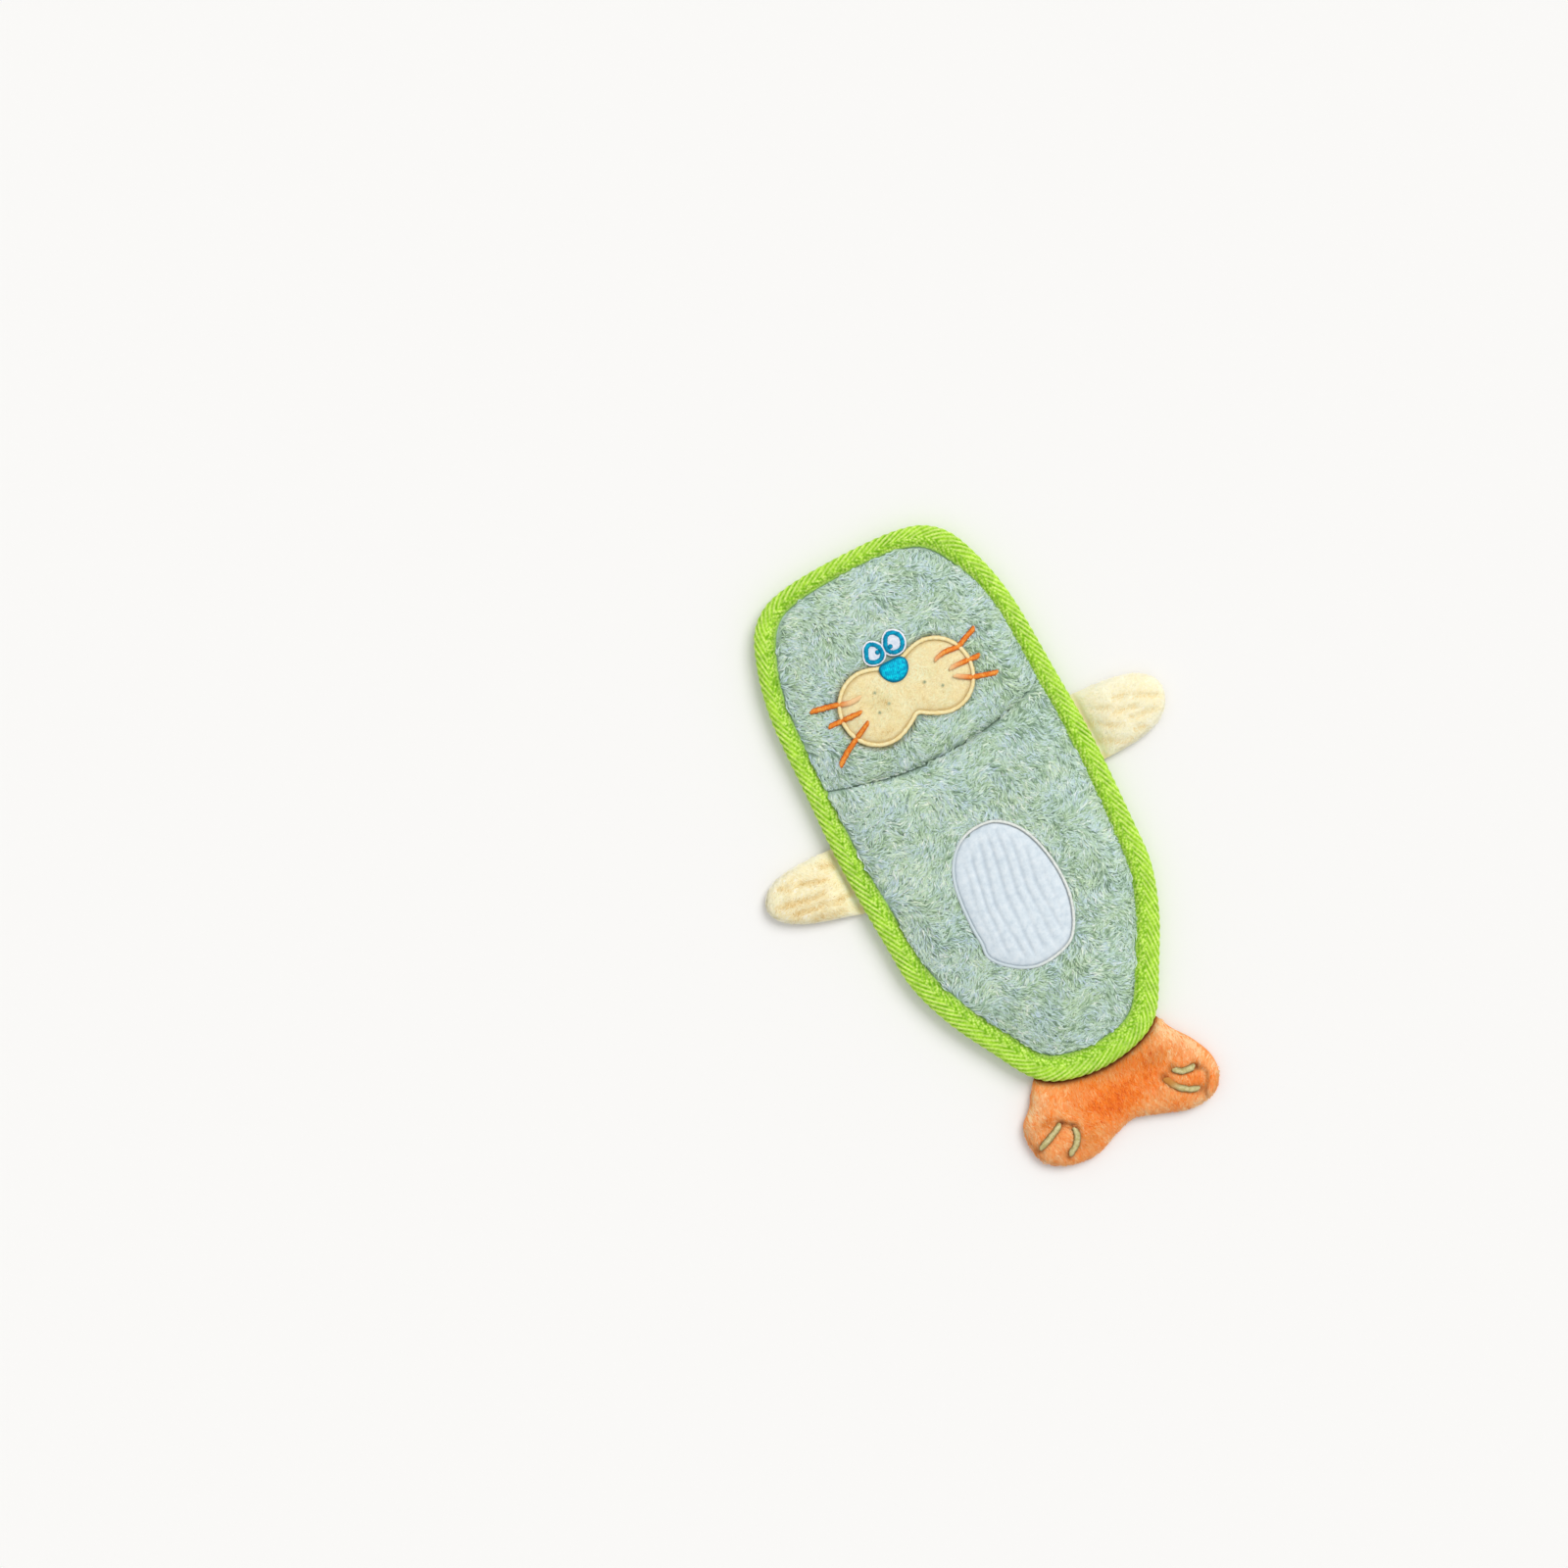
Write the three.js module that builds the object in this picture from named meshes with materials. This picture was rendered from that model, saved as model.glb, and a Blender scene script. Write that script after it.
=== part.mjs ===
// A flat stuffed sea animal toy for a dog, lying on its back with its face up.
// Millimetres, +Z up and +Y towards the head. The origin is under the middle of the whole outline.
import * as THREE from "three";

// The bound pad that makes head and belly.
const headLength = 86; // from the top to the sides of the fold
const bellyLength = 159; // from there to the lower edge
const padWidth = 121;
const headThickness = 13.6;
const edgeHeight = 6; // the middle of the bound edge over the floor
const foldSag = 9.6; // how far the fold's seam hangs down in the middle
const foldGap = 0.9; // between the two sides of each fold
const pinchWidth = 2.5; // the strip that the seam draws in
const plush = 1.4; // the pad's plush, pressed, with its backing
const pinchedPlush = 0.3;
const clearance = 0.3; // between pieces that touch
const flatCut = 0.5; // how much of the back the floor takes off
const bindingTape = 0.9;
const bindingRound = 2.2; // the rounded outer edge of the folded tape
const bindingTop = 7.8; // the tape's width on the front, at the head's top
const bindingBottom = 11.4;

// What lies inside.
const crinkleFilm = 0.3;
const squeakerDiameter = 32;
const squeakerHeight = 8.5;
const squeakerWall = 1;
const squeakerRound = 2.5;
const reedDiameter = 8;
const reedBore = 2.4;
const reedFlange = 12;
const reedLip = 0.8;
const paddingUnderSqueaker = 1.6;

// Flippers and tail.
const limbPlush = 1.2;
const limbThickness = 8;
const tabThickness = 1.2;
const tabDepth = 7; // how far the sewn edge reaches in under the binding
const rootRamp = 15; // the length over which a limb swells from its sewn edge
const flipperLength = 36.5;
const flipperRoot = 31;
const flipperGroove = 0.8;
const flipperRibs = 6;
const leftFlipperRise = 3.5; // how far its tip leans towards the head
const rightFlipperRise = 0.4;
const tailLength = 33; // past the pad's lower edge
const tailWidth = 89;
const tailRoot = 56;
const toeWidth = 2.2;
const toeHeight = 1;

// The face.
const faceOffset = -1.1; // the face and the patch sit a little to the left
const muzzleWidth = 62.5;
const muzzleLobe = 16.5; // radius of each lobe
const muzzleSaddle = 13; // from the middle up to the dip between the lobes
const muzzleNotch = 10.6; // from the middle down to the lower dip
const appliqueCloth = 1.1;
const muzzleBorder = 2;
const borderHeight = 1.4;
const noseWidth = 13;
const noseLength = 10.1;
const noseHeight = 1.5;
const noseRise = 10.4; // over the muzzle's middle
const eyeWidth = 9;
const eyeLength = 10;
const eyeSpacing = 9.8;
const eyesRise = 21; // over the muzzle's middle
const eyeStroke = 1.7;
const eyeGround = 0.6;
const stitchHeight = 0.9;
const pupilRadius = 0.95;
const dotRadius = 1;
const whiskerWidth = 1.6;

// The patch on the belly.
const patchWidth = 45;
const patchLength = 64.5;
const patchBorder = 1.4;
const patchCloth = 1.5;
const patchRib = 4.7; // from rib to rib
const patchGroove = 0.6;

// Half outlines: share of the length, downwards, and share of the half width.
const headOutlineShares = [
  [0, 0], [0.017, 0.446], [0.055, 0.63], [0.14, 0.769], [0.314, 0.876], [0.547, 0.95], [1, 0.983],
];
const bellyOutlineShares = [
  [0.195, 1], [0.447, 0.977], [0.57, 0.953], [0.698, 0.843],
  [0.824, 0.669], [0.937, 0.488], [0.977, 0.335], [1, 0],
];
// The tail from its left root to its right one: share of the half width, and of the length past the pad.
const tailOutlineShares = [
  [-0.84, 0.03], [-0.966, 0.2], [-1, 0.42], [-0.95, 0.72], [-0.755, 0.91], [-0.45, 0.955], [-0.235, 0.85],
  [0, 0.765], [0.22, 0.85], [0.56, 1], [0.8, 0.96], [0.93, 0.78], [0.955, 0.52], [0.86, 0.2], [0.735, -0.04],
];
const flipperTaperShare = 0.18;
const seamBendShare = 0.97; // where the seam starts to hang, at most, out of the half width
const padRingShares = [0.93, 0.82, 0.66, 0.44];
const innerRingShares = [0.9, 0.7, 0.46];
const tailRingShares = [0.9, 0.74, 0.45];
const patchRingShares = [0.8, 0.45];
const flipperStationShares = [0, 0.05, 0.12, 0.22, 0.36, 0.52, 0.68, 0.8, 0.89, 0.95, 0.985];
const headMiddleShare = 0.465; // of the head's length, up from the fold
const bellyMiddleShare = 0.46;
const leftFlipperShare = 0.2406; // the flippers' middles, down the belly
const rightFlipperShare = 0.173;
const muzzleDownShare = 0.747; // down the head
const patchDownShare = 0.475;

// Whiskers and dots: each point across and up from the muzzle's middle, as shares of its width. Toe
// stitches: the same from the tail's middle, as a share of its width across and of its length up.
const whiskerPathShares = [
  ["left_upper_whisker", [[-0.646, 0.18], [-0.464, 0.137], [-0.382, 0.11], [-0.287, 0.108]]],
  ["left_middle_whisker", [[-0.584, 0.031], [-0.328, 0.015]]],
  ["left_lower_whisker", [[-0.638, -0.246], [-0.558, -0.188], [-0.462, -0.135], [-0.318, -0.063]]],
  ["right_upper_whisker", [[0.262, 0.098], [0.346, 0.116], [0.456, 0.108], [0.514, 0.132], [0.616, 0.17]]],
  ["right_middle_whisker", [[0.325, 0.002], [0.422, -0.002], [0.56, -0.015]]],
  ["right_lower_whisker", [[0.33, -0.052], [0.43, -0.116], [0.506, -0.142], [0.616, -0.175]]],
];
const muzzleDotShares = [
  ["left_upper_dot", [-0.194, 0.09]],
  ["left_lower_dot", [-0.227, -0.044]],
  ["left_inner_dot", [-0.142, -0.018]],
  ["right_inner_dot", [0.139, -0.001]],
  ["right_lower_dot", [0.238, -0.078]],
];
const toePathShares = [
  ["left_outer_toe", [[-0.465, -0.052], [-0.393, 0.021], [-0.317, 0.118]]],
  ["left_inner_toe", [[-0.268, 0], [-0.272, -0.106], [-0.303, -0.221], [-0.352, -0.297]]],
  ["right_outer_toe", [[0.276, 0.082], [0.312, -0.003], [0.38, -0.027]]],
  ["right_inner_toe", [[0.222, 0.03], [0.253, -0.136], [0.298, -0.245], [0.351, -0.312]]],
];

// How finely the forms are stepped.
const outlineSteps = 2; // for each point of the pad's outline
const seamSteps = 8;
const tapeSteps = 2;
const roundSteps = 20;
const eyeSteps = 16;
const spotSteps = 10;
const patchSteps = 36;
const lobeSteps = 12;
const waistSteps = 3;
const tailSteps = 2; // for each point of the tail's outline
const tailRootSteps = 8;
const acrossSteps = 8;
const ribSteps = 4;
const patchSections = 9;
const barSteps = 8;
const halvingSteps = 30;

// Places worked out from the sizes above.
const padLength = headLength + bellyLength;
const padTop = (padLength + tailLength) / 2;
const padBottom = padTop - padLength;
const foldY = padTop - headLength;
const hingeY = foldY - foldSag / 2;
const halfGap = clearance / 2;
const tapeHalf = halfGap + plush + clearance + bindingTape;
const backCrown = edgeHeight - halfGap - plush + flatCut;
const headCrown = headThickness - edgeHeight - halfGap - plush;
const squeakerFloor = plush + clearance + paddingUnderSqueaker;
const squeakerTop = squeakerFloor + clearance + squeakerHeight;
const bellyRise = squeakerTop + 2 * clearance + crinkleFilm - edgeHeight - halfGap;
const bellyCrown = bellyRise / swell(innerRingShares.at(-1));
const limbZ = edgeHeight - tapeHalf - clearance - tabThickness / 2;
const limbFront = limbThickness - limbZ - halfGap - limbPlush;
const limbBack = limbZ - halfGap - limbPlush + flatCut;
const flipperHinge = padWidth / 2 + foldGap / 2;
const tailHinge = padBottom - foldGap / 2;

const colours = {
  plush: 0xb4cdc4,
  binding: 0x96d732,
  muzzle: 0xf5e4af,
  muzzleBorder: 0xfadc96,
  blue: 0x0096c3,
  eyeWhite: 0xf2effa,
  nose: 0x00b4d7,
  orange: 0xf08228,
  dots: 0x82966e,
  patch: 0xdce8f0,
  patchBorder: 0xf2f2ea,
  flipper: 0xf8eebe,
  tail: 0xf58c46,
  toes: 0xafa564,
  filling: 0xf4f4f2,
  film: 0xd8dcde,
  squeaker: 0xf0f0ec,
  reed: 0xd9d3c4,
};

// How far a padded form has swollen, from 0 at its rim to 1 in the middle.
function swell(share) {
  return (1 - share ** 3.2) ** 0.8;
}

const vector = (x, y, z = 0) => new THREE.Vector3(x, y, z);
const mix = THREE.MathUtils.lerp;

// Six times the volume that a mesh of triangles encloses, positive when they face out.
function enclosed(points, faces) {
  let sum = 0;
  for (let f = 0; f < faces.length; f += 3) {
    const [a, b, c] = [points[faces[f]], points[faces[f + 1]], points[faces[f + 2]]];
    sum += a.dot(b.clone().cross(c));
  }
  return sum;
}

// Triangles that close a flat ring, turning the way the ring turns.
function capOf(ring) {
  const normal = vector(0, 0, 0);
  ring.forEach((p, i) => normal.add(p.clone().cross(ring[(i + 1) % ring.length])));
  const turn = new THREE.Quaternion().setFromUnitVectors(normal.normalize(), vector(0, 0, 1));
  const flat = ring.map((p) => p.clone().applyQuaternion(turn)).map((p) => new THREE.Vector2(p.x, p.y));
  const faces = THREE.ShapeUtils.triangulateShape(flat, []);
  const clockwise = THREE.ShapeUtils.isClockWise(faces[0].map((i) => flat[i]));
  return faces.map((face) => (clockwise ? face.toReversed() : face));
}

// Skins a row of rings into a closed body. A ring of one point is a pole, an end ring of more points gets a
// flat face, and joined rings run back to the first.
function loft(rings, joined = false) {
  const points = rings.flat();
  const starts = rings.map((ring, r) => rings.slice(0, r).reduce((sum, one) => sum + one.length, 0));
  const count = Math.max(...rings.map((ring) => ring.length));
  const at = (r, i) => starts[r] + (rings[r].length === 1 ? 0 : i % count);
  const faces = [];
  for (let r = 0; r < rings.length - (joined ? 0 : 1); r += 1) {
    const next = (r + 1) % rings.length;
    for (let i = 0; i < count; i += 1) {
      const [a, b, c, d] = [at(r, i), at(r, i + 1), at(next, i + 1), at(next, i)];
      if (a !== b) faces.push(a, b, c);
      if (c !== d) faces.push(a, c, d);
    }
  }
  if (!joined && rings[0].length > 1) {
    capOf(rings[0]).forEach(([a, b, c]) => faces.push(c, b, a));
  }
  if (!joined && rings.at(-1).length > 1) {
    capOf(rings.at(-1)).forEach((face) => faces.push(...face.map((i) => starts.at(-1) + i)));
  }
  if (enclosed(points, faces) < 0) faces.reverse();
  const geometry = new THREE.BufferGeometry().setFromPoints(points);
  geometry.setIndex(faces);
  geometry.computeVertexNormals();
  return geometry;
}

// A loop lifted to a height, which may be a rule for each of its points.
function lifted(loop, height) {
  return loop.map((p, i) => vector(p.x, p.y, typeof height === "function" ? height(p, i) : height));
}

// A loop drawn in towards a middle point.
function drawnIn(loop, middle, share) {
  return loop.map((p) => vector(mix(middle.x, p.x, share), mix(middle.y, p.y, share)));
}

// A closed loop moved inwards by a distance.
function inset(loop, distance) {
  const flat = loop.map((p) => new THREE.Vector2(p.x, p.y));
  const side = THREE.ShapeUtils.isClockWise(flat) ? -1 : 1;
  return loop.map((p, i) => {
    const along = loop[(i + 1) % loop.length].clone().sub(loop.at(i - 1)).normalize();
    return vector(p.x - side * distance * along.y, p.y + side * distance * along.x);
  });
}

// The height of what lies under a point of the plan.
const probe = new THREE.Raycaster();
function heightOn(supports, p) {
  probe.set(vector(p.x, p.y, padLength), vector(0, 0, -1));
  return probe.intersectObjects(supports, false)[0].point.z;
}

// The pad's outline, clockwise from the middle of the top.
const rightEdge = [
  ...headOutlineShares.map(([down, out]) => vector((out * padWidth) / 2, padTop - down * headLength)),
  ...bellyOutlineShares.map(([down, out]) => vector((out * padWidth) / 2, foldY - down * bellyLength)),
];
const leftEdge = rightEdge.slice(1, -1).reverse().map((p) => vector(-p.x, p.y));
const outline = new THREE.CatmullRomCurve3([...rightEdge, ...leftEdge], true, "centripetal");
const outlineCount = rightEdge.length + leftEdge.length;
const foldIndex = headOutlineShares.length - 1; // the outline point at the right end of the fold
const bottomIndex = rightEdge.length - 1;

// The point at an index along the outline, moved inwards.
function edgeAt(index, distance = 0) {
  const share = (((index / outlineCount) % 1) + 1) % 1;
  const p = outline.getPoint(share);
  const along = outline.getTangent(share);
  return vector(p.x + along.y * distance, p.y - along.x * distance);
}

// The binding's width on the front, which grows from the head's top to the lower edge.
function tapeWidth(p) {
  return mix(bindingTop, bindingBottom, (padTop - p.y) / padLength);
}

const head = {
  side: 1,
  first: outlineCount - foldIndex,
  last: outlineCount + foldIndex,
  middle: vector(0, foldY + headMiddleShare * headLength),
  crown: headCrown,
};
const belly = {
  side: -1,
  first: foldIndex,
  last: outlineCount - foldIndex,
  middle: vector(0, foldY - bellyMiddleShare * bellyLength),
  crown: bellyCrown,
};

// The stretch of the bound edge that belongs to the head or the belly, ending clear of the fold.
function boundEdge(half, distanceAt, steps, gap) {
  const stretch = [];
  for (let k = 0; k <= (half.last - half.first) * steps; k += 1) {
    const index = half.first + k / steps;
    stretch.push(edgeAt(index, distanceAt(edgeAt(index))));
  }
  stretch[0].y = foldY + half.side * gap;
  stretch.at(-1).y = foldY + half.side * gap;
  return stretch;
}

// The fold's seam, which hangs down between the binding's inner edges.
const foldHalf = (padWidth / 2) * headOutlineShares.at(-1)[1] - tapeWidth(vector(0, foldY));
function seamY(x) {
  return foldY - foldSag * Math.max(0, 1 - (x / foldHalf) ** 2);
}

// The loop round the head or the belly: its bound edge, then its side of the seam.
function padLoop(half, distanceAt, seamInset) {
  const gap = foldGap / 2 + seamInset;
  const loop = boundEdge(half, distanceAt, outlineSteps, gap);
  const from = loop.at(-1).x;
  const bend = Math.sign(from) * Math.min(foldHalf, seamBendShare * Math.abs(from));
  for (let k = 0; k <= seamSteps; k += 1) {
    const x = mix(bend, -bend, k / seamSteps);
    loop.push(vector(x, seamY(x) + half.side * gap));
  }
  return loop;
}

const boundCount = (half) => (half.last - half.first) * outlineSteps;
const onSeam = (half, i) => i === 0 || i >= boundCount(half);
const rimLoop = (half) => padLoop(half, () => bindingTape + clearance, 0);
const bedLoop = (half) => padLoop(half, (p) => tapeWidth(p) + clearance, pinchWidth);

// Heights of the pad's two covers: the outer face of each, and its inner face.
const frontOuter = (half, share) => edgeHeight + halfGap + plush + half.crown * swell(share);
const frontInner = (half, share) => frontOuter(half, share) - plush;
const backOuter = (half, share) => Math.max(0, edgeHeight - halfGap - plush - backCrown * swell(share));
const backInner = (half, share) => backOuter(half, share) + plush;

// A cover of the pad, flat under the binding, pinched at the seam and swollen in the middle.
function padCover(half, outer, inner, facing) {
  const rim = rimLoop(half);
  const bed = bedLoop(half);
  const meet = edgeHeight + facing * halfGap;
  const pinched = (p, i) => (onSeam(half, i) ? meet + facing * pinchedPlush : outer(half, 1));
  const across = (height) => padRingShares.map((share) => lifted(drawnIn(bed, half.middle, share), height(half, share)));
  const pole = (height) => lifted([half.middle], height(half, 0));
  return loft([
    pole(outer),
    ...across(outer).reverse(),
    lifted(bed, outer(half, 1)),
    lifted(rim, pinched),
    lifted(rim, meet),
    lifted(bed, inner(half, 1)),
    ...across(inner),
    pole(inner),
  ]);
}

// A layer between the covers, between two heights.
function padLayer(half, upper, lower, well = []) {
  const bed = bedLoop(half);
  const across = (height) => innerRingShares.map((share) => lifted(drawnIn(bed, half.middle, share), height(half, share)));
  const top = well.length ? well : [lifted([half.middle], upper(half, 0))];
  return loft([...top, ...across(upper).reverse(), ...across(lower), lifted([half.middle], lower(half, 0))]);
}

const filmTop = (half, share) => frontInner(half, share) - clearance;
const filmBottom = (half, share) => filmTop(half, share) - crinkleFilm;
const fillingTop = (half, share) => filmBottom(half, share) - clearance;
const fillingBottom = (half, share) => backInner(half, share) + clearance;

// A circle of as many points as the belly's loop, which starts where the loop starts.
function wellRing(radius, z) {
  const bed = bedLoop(belly);
  return bed.map((p) => {
    const out = p.clone().sub(belly.middle).setLength(radius).add(belly.middle);
    return vector(out.x, out.y, z);
  });
}

// The round well in the belly's filling that holds the squeaker.
function squeakerWell() {
  const radius = squeakerDiameter / 2 + clearance;
  return [
    lifted([belly.middle], squeakerFloor),
    wellRing(radius, squeakerFloor),
    wellRing(radius, fillingTop(belly, innerRingShares.at(-1))),
  ];
}

// The folded tape of the binding, as a section swept along the head's or the belly's edge.
function binding(half) {
  const gap = (Math.hypot(foldSag / 2, tapeHalf) - foldSag / 2 + clearance) / 2;
  const section = (width) => [
    [width, tapeHalf],
    [bindingRound, tapeHalf],
    [bindingRound * 0.2, tapeHalf * 0.8],
    [0, 0],
    [bindingRound * 0.2, -tapeHalf * 0.8],
    [bindingRound, -tapeHalf],
    [width, -tapeHalf],
    [width, bindingTape - tapeHalf],
    [bindingTape, bindingTape - tapeHalf],
    [bindingTape, tapeHalf - bindingTape],
    [width, tapeHalf - bindingTape],
  ];
  const runs = section(0).map((unused, s) => boundEdge(half, (p) => section(tapeWidth(p))[s][0], tapeSteps, gap));
  const rings = runs[0].map((unused, k) =>
    runs.map((run, s) => vector(run[k].x, run[k].y, edgeHeight + section(0)[s][1])),
  );
  return loft(rings);
}

// Rings of a turned body from pairs of radius and height.
function turned(profile, centre, joined = false) {
  const rings = profile.map(([radius, z]) => {
    const steps = radius === 0 ? 1 : roundSteps;
    return Array.from({ length: steps }, (unused, k) => {
      const angle = (2 * Math.PI * k) / roundSteps;
      return vector(centre.x + radius * Math.cos(angle), centre.y + radius * Math.sin(angle), z);
    });
  });
  return loft(rings, joined);
}

// The squeaker's hollow case, open underneath where its reed sits.
function squeakerShell() {
  const radius = squeakerDiameter / 2;
  const low = squeakerFloor + clearance;
  const high = low + squeakerHeight;
  const mouth = reedDiameter / 2 + clearance;
  const floor = low + reedLip + clearance;
  return turned(
    [
      [0, high],
      [radius - squeakerRound, high],
      [radius, high - squeakerRound],
      [radius, low + squeakerRound],
      [radius - squeakerRound, low],
      [reedFlange / 2 + clearance, low],
      [reedFlange / 2 + clearance, floor],
      [mouth, floor],
      [mouth, floor + squeakerWall],
      [radius - squeakerRound, floor + squeakerWall],
      [radius - squeakerWall, low + squeakerRound + squeakerWall],
      [radius - squeakerWall, high - squeakerRound],
      [radius - squeakerRound, high - squeakerWall],
      [0, high - squeakerWall],
    ],
    belly.middle,
  );
}

// The flanged reed that sounds when air goes through it.
function squeakerReed() {
  const low = squeakerFloor + clearance;
  const shoulder = low + reedLip;
  const top = shoulder + clearance + 2 * squeakerWall;
  return turned(
    [
      [reedBore / 2, low],
      [reedFlange / 2, low],
      [reedFlange / 2, shoulder],
      [reedDiameter / 2, shoulder],
      [reedDiameter / 2, top],
      [reedBore / 2, top],
    ],
    belly.middle,
    true,
  );
}

// Limbs.

// How far a limb has swollen at a distance from its sewn edge.
const rootRise = (distance) => Math.sin((Math.PI / 2) * Math.min(1, distance / rootRamp));
const limbCover = (distance) => mix(pinchedPlush, limbPlush, Math.min(1, (2 * distance) / rootRamp));

// Heights of a limb's two covers, for how swollen it is there and how thick its plush is.
const limbHeights = {
  frontOuter: (bulge, cover) => limbZ + halfGap + cover + limbFront * bulge,
  frontInner: (bulge) => limbZ + halfGap + limbFront * bulge,
  backOuter: (bulge, cover) => Math.max(0, limbZ - halfGap - cover - limbBack * bulge),
  backInner: (bulge, cover) => limbHeights.backOuter(bulge, cover) + cover,
};

const flippers = {
  left: { side: -1, root: foldY - leftFlipperShare * bellyLength, rise: leftFlipperRise },
  right: { side: 1, root: foldY - rightFlipperShare * bellyLength, rise: rightFlipperRise },
};

// A place on a flipper: its share of the length, and its share of the half width from -1 to 1.
function flipperPlace(flipper, out, across) {
  const round = Math.sqrt(Math.max(0, 1 - out ** 5));
  const half = (flipperRoot / 2) * (1 - flipperTaperShare * out) * round;
  const reach = mix(foldGap / 2, flipperLength - foldGap / 2, out);
  const x = flipper.side * (flipperHinge + reach);
  return vector(x, flipper.root + flipper.rise * out + across * half);
}

const flipperBulge = (out, across) =>
  rootRise(out * flipperLength) * Math.sqrt(1 - out ** 6) * (1 - Math.abs(across) ** 2.6) ** 0.75;
const flipperCover = (out) => limbCover(out * flipperLength);

// The grooves between a flipper's ribs.
function groove(out, across) {
  const wave = (1 + Math.cos(Math.PI * flipperRibs * (across + 1))) / 2;
  return flipperGroove * rootRise(out * flipperLength) * (1 - Math.abs(across)) ** 0.3 * wave;
}

// Sections of a flipper's layer between two heights, from its root to its tip. A layer that keeps off the
// flipper's sides skips its outermost steps.
function flipperLayer(flipper, stations, upper, lower, upperSteps, skipped = 0) {
  const side = (out, height, steps, turn) =>
    Array.from({ length: steps + 1 - 2 * skipped }, (unused, k) => {
      const across = turn * (1 - (2 * (k + skipped)) / steps);
      return lifted([flipperPlace(flipper, out, across)], height(out, across))[0];
    });
  return stations.map((out) => [...side(out, upper, upperSteps, -1), ...side(out, lower, acrossSteps, 1)]);
}

function flipperFront(flipper) {
  const inner = (out, across) => limbHeights.frontInner(flipperBulge(out, across));
  const outer = (out, across) =>
    limbHeights.frontOuter(flipperBulge(out, across), flipperCover(out)) - groove(out, across);
  const rings = flipperLayer(flipper, flipperStationShares, outer, inner, flipperRibs * ribSteps);
  return loft([...rings, lifted([flipperPlace(flipper, 1, 0)], limbZ + halfGap + limbPlush / 2)]);
}

function flipperBack(flipper) {
  const outer = (out, across) => limbHeights.backOuter(flipperBulge(out, across), flipperCover(out));
  const inner = (out, across) => limbHeights.backInner(flipperBulge(out, across), flipperCover(out));
  const rings = flipperLayer(flipper, flipperStationShares, inner, outer, acrossSteps);
  return loft([...rings, lifted([flipperPlace(flipper, 1, 0)], limbZ - halfGap - limbPlush / 2)]);
}

function flipperFilling(flipper) {
  const top = (out, across) => limbHeights.frontInner(flipperBulge(out, across)) - clearance;
  const bottom = (out, across) =>
    limbHeights.backInner(flipperBulge(out, across), flipperCover(out)) + clearance;
  return loft(flipperLayer(flipper, flipperStationShares.slice(3, -2), top, bottom, acrossSteps, 1));
}

// A flat sewn edge under the binding, thinned at the fold.
function tab(loop, foldCount) {
  const half = (i) => (i < foldCount ? halfGap + pinchedPlush : tabThickness / 2);
  return loft([lifted(loop, (p, i) => limbZ + half(i)), lifted(loop, (p, i) => limbZ - half(i))]);
}

function flipperTab(flipper) {
  const outer = flipper.side * (flipperHinge - foldGap / 2);
  const inner = outer - flipper.side * tabDepth;
  const low = flipper.root - flipperRoot / 2;
  const high = flipper.root + flipperRoot / 2;
  return tab([vector(outer, low), vector(outer, high), vector(inner, high), vector(inner, low)], 2);
}

// Where the pad's lower edge is half the tail's root from the middle.
function tailRootIndex() {
  let [near, far] = [foldIndex, bottomIndex];
  for (let turn = 0; turn < halvingSteps; turn += 1) {
    const middle = (near + far) / 2;
    [near, far] = edgeAt(middle).x > tailRoot / 2 ? [middle, far] : [near, middle];
  }
  return near;
}

// The pad's edge over the tail's root, from right to left, moved inwards.
function tailEdge(distance) {
  const from = tailRootIndex();
  const to = 2 * bottomIndex - from;
  return Array.from({ length: tailRootSteps + 1 }, (unused, k) =>
    edgeAt(mix(from, to, k / tailRootSteps), distance),
  );
}

function tailLoop() {
  const root = tailEdge(-foldGap);
  const lobes = tailOutlineShares.map(([out, down]) =>
    vector((out * tailWidth) / 2, padBottom - down * tailLength),
  );
  const free = new THREE.CatmullRomCurve3([root.at(-1), ...lobes, root[0]], false, "centripetal");
  return [...root, ...free.getPoints(tailSteps * (lobes.length + 1)).slice(1, -1)];
}

const tailMiddle = vector(0, padBottom - tailLength / 2);
const onTailRoot = (i) => i <= tailRootSteps;

// A cover or the filling of the tail, in rings from its outline to its middle.
function tailLayer(upper, lower, shares) {
  const loop = tailLoop();
  const edge = tailEdge(0);
  const heights = (height, share) => (p, i) => {
    const distance = Math.min(...edge.map((q) => q.distanceTo(vector(p.x, p.y))));
    return height(rootRise(distance) * swell(share), limbCover(distance));
  };
  const rings = (height) => shares.map((share) => {
    const ring = drawnIn(loop, tailMiddle, share);
    return lifted(ring, heights(height, share));
  });
  const pole = (height) => lifted([tailMiddle], heights(height, 0));
  return loft([pole(upper), ...rings(upper).reverse(), ...rings(lower), pole(lower)]);
}

function tailTab() {
  const fold = tailEdge(0);
  return tab([...fold, ...tailEdge(tabDepth).reverse()], fold.length);
}

// Sewn trim.

// A cloth patch that lies on other pieces, with its own slight crown.
function appliqued(loop, middle, thickness, crown, supports, shares = []) {
  const seat = (p) => heightOn(supports, p) + clearance;
  const top = (share) => (p) => seat(p) + thickness + crown * swell(share);
  const rings = [1, ...shares].map((share) => [share, drawnIn(loop, middle, share)]);
  return loft([
    lifted([middle], top(0)),
    ...rings.map(([share, ring]) => lifted(ring, top(share))).reverse(),
    ...rings.map(([, ring]) => lifted(ring, seat)),
    lifted([middle], seat),
  ]);
}

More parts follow.
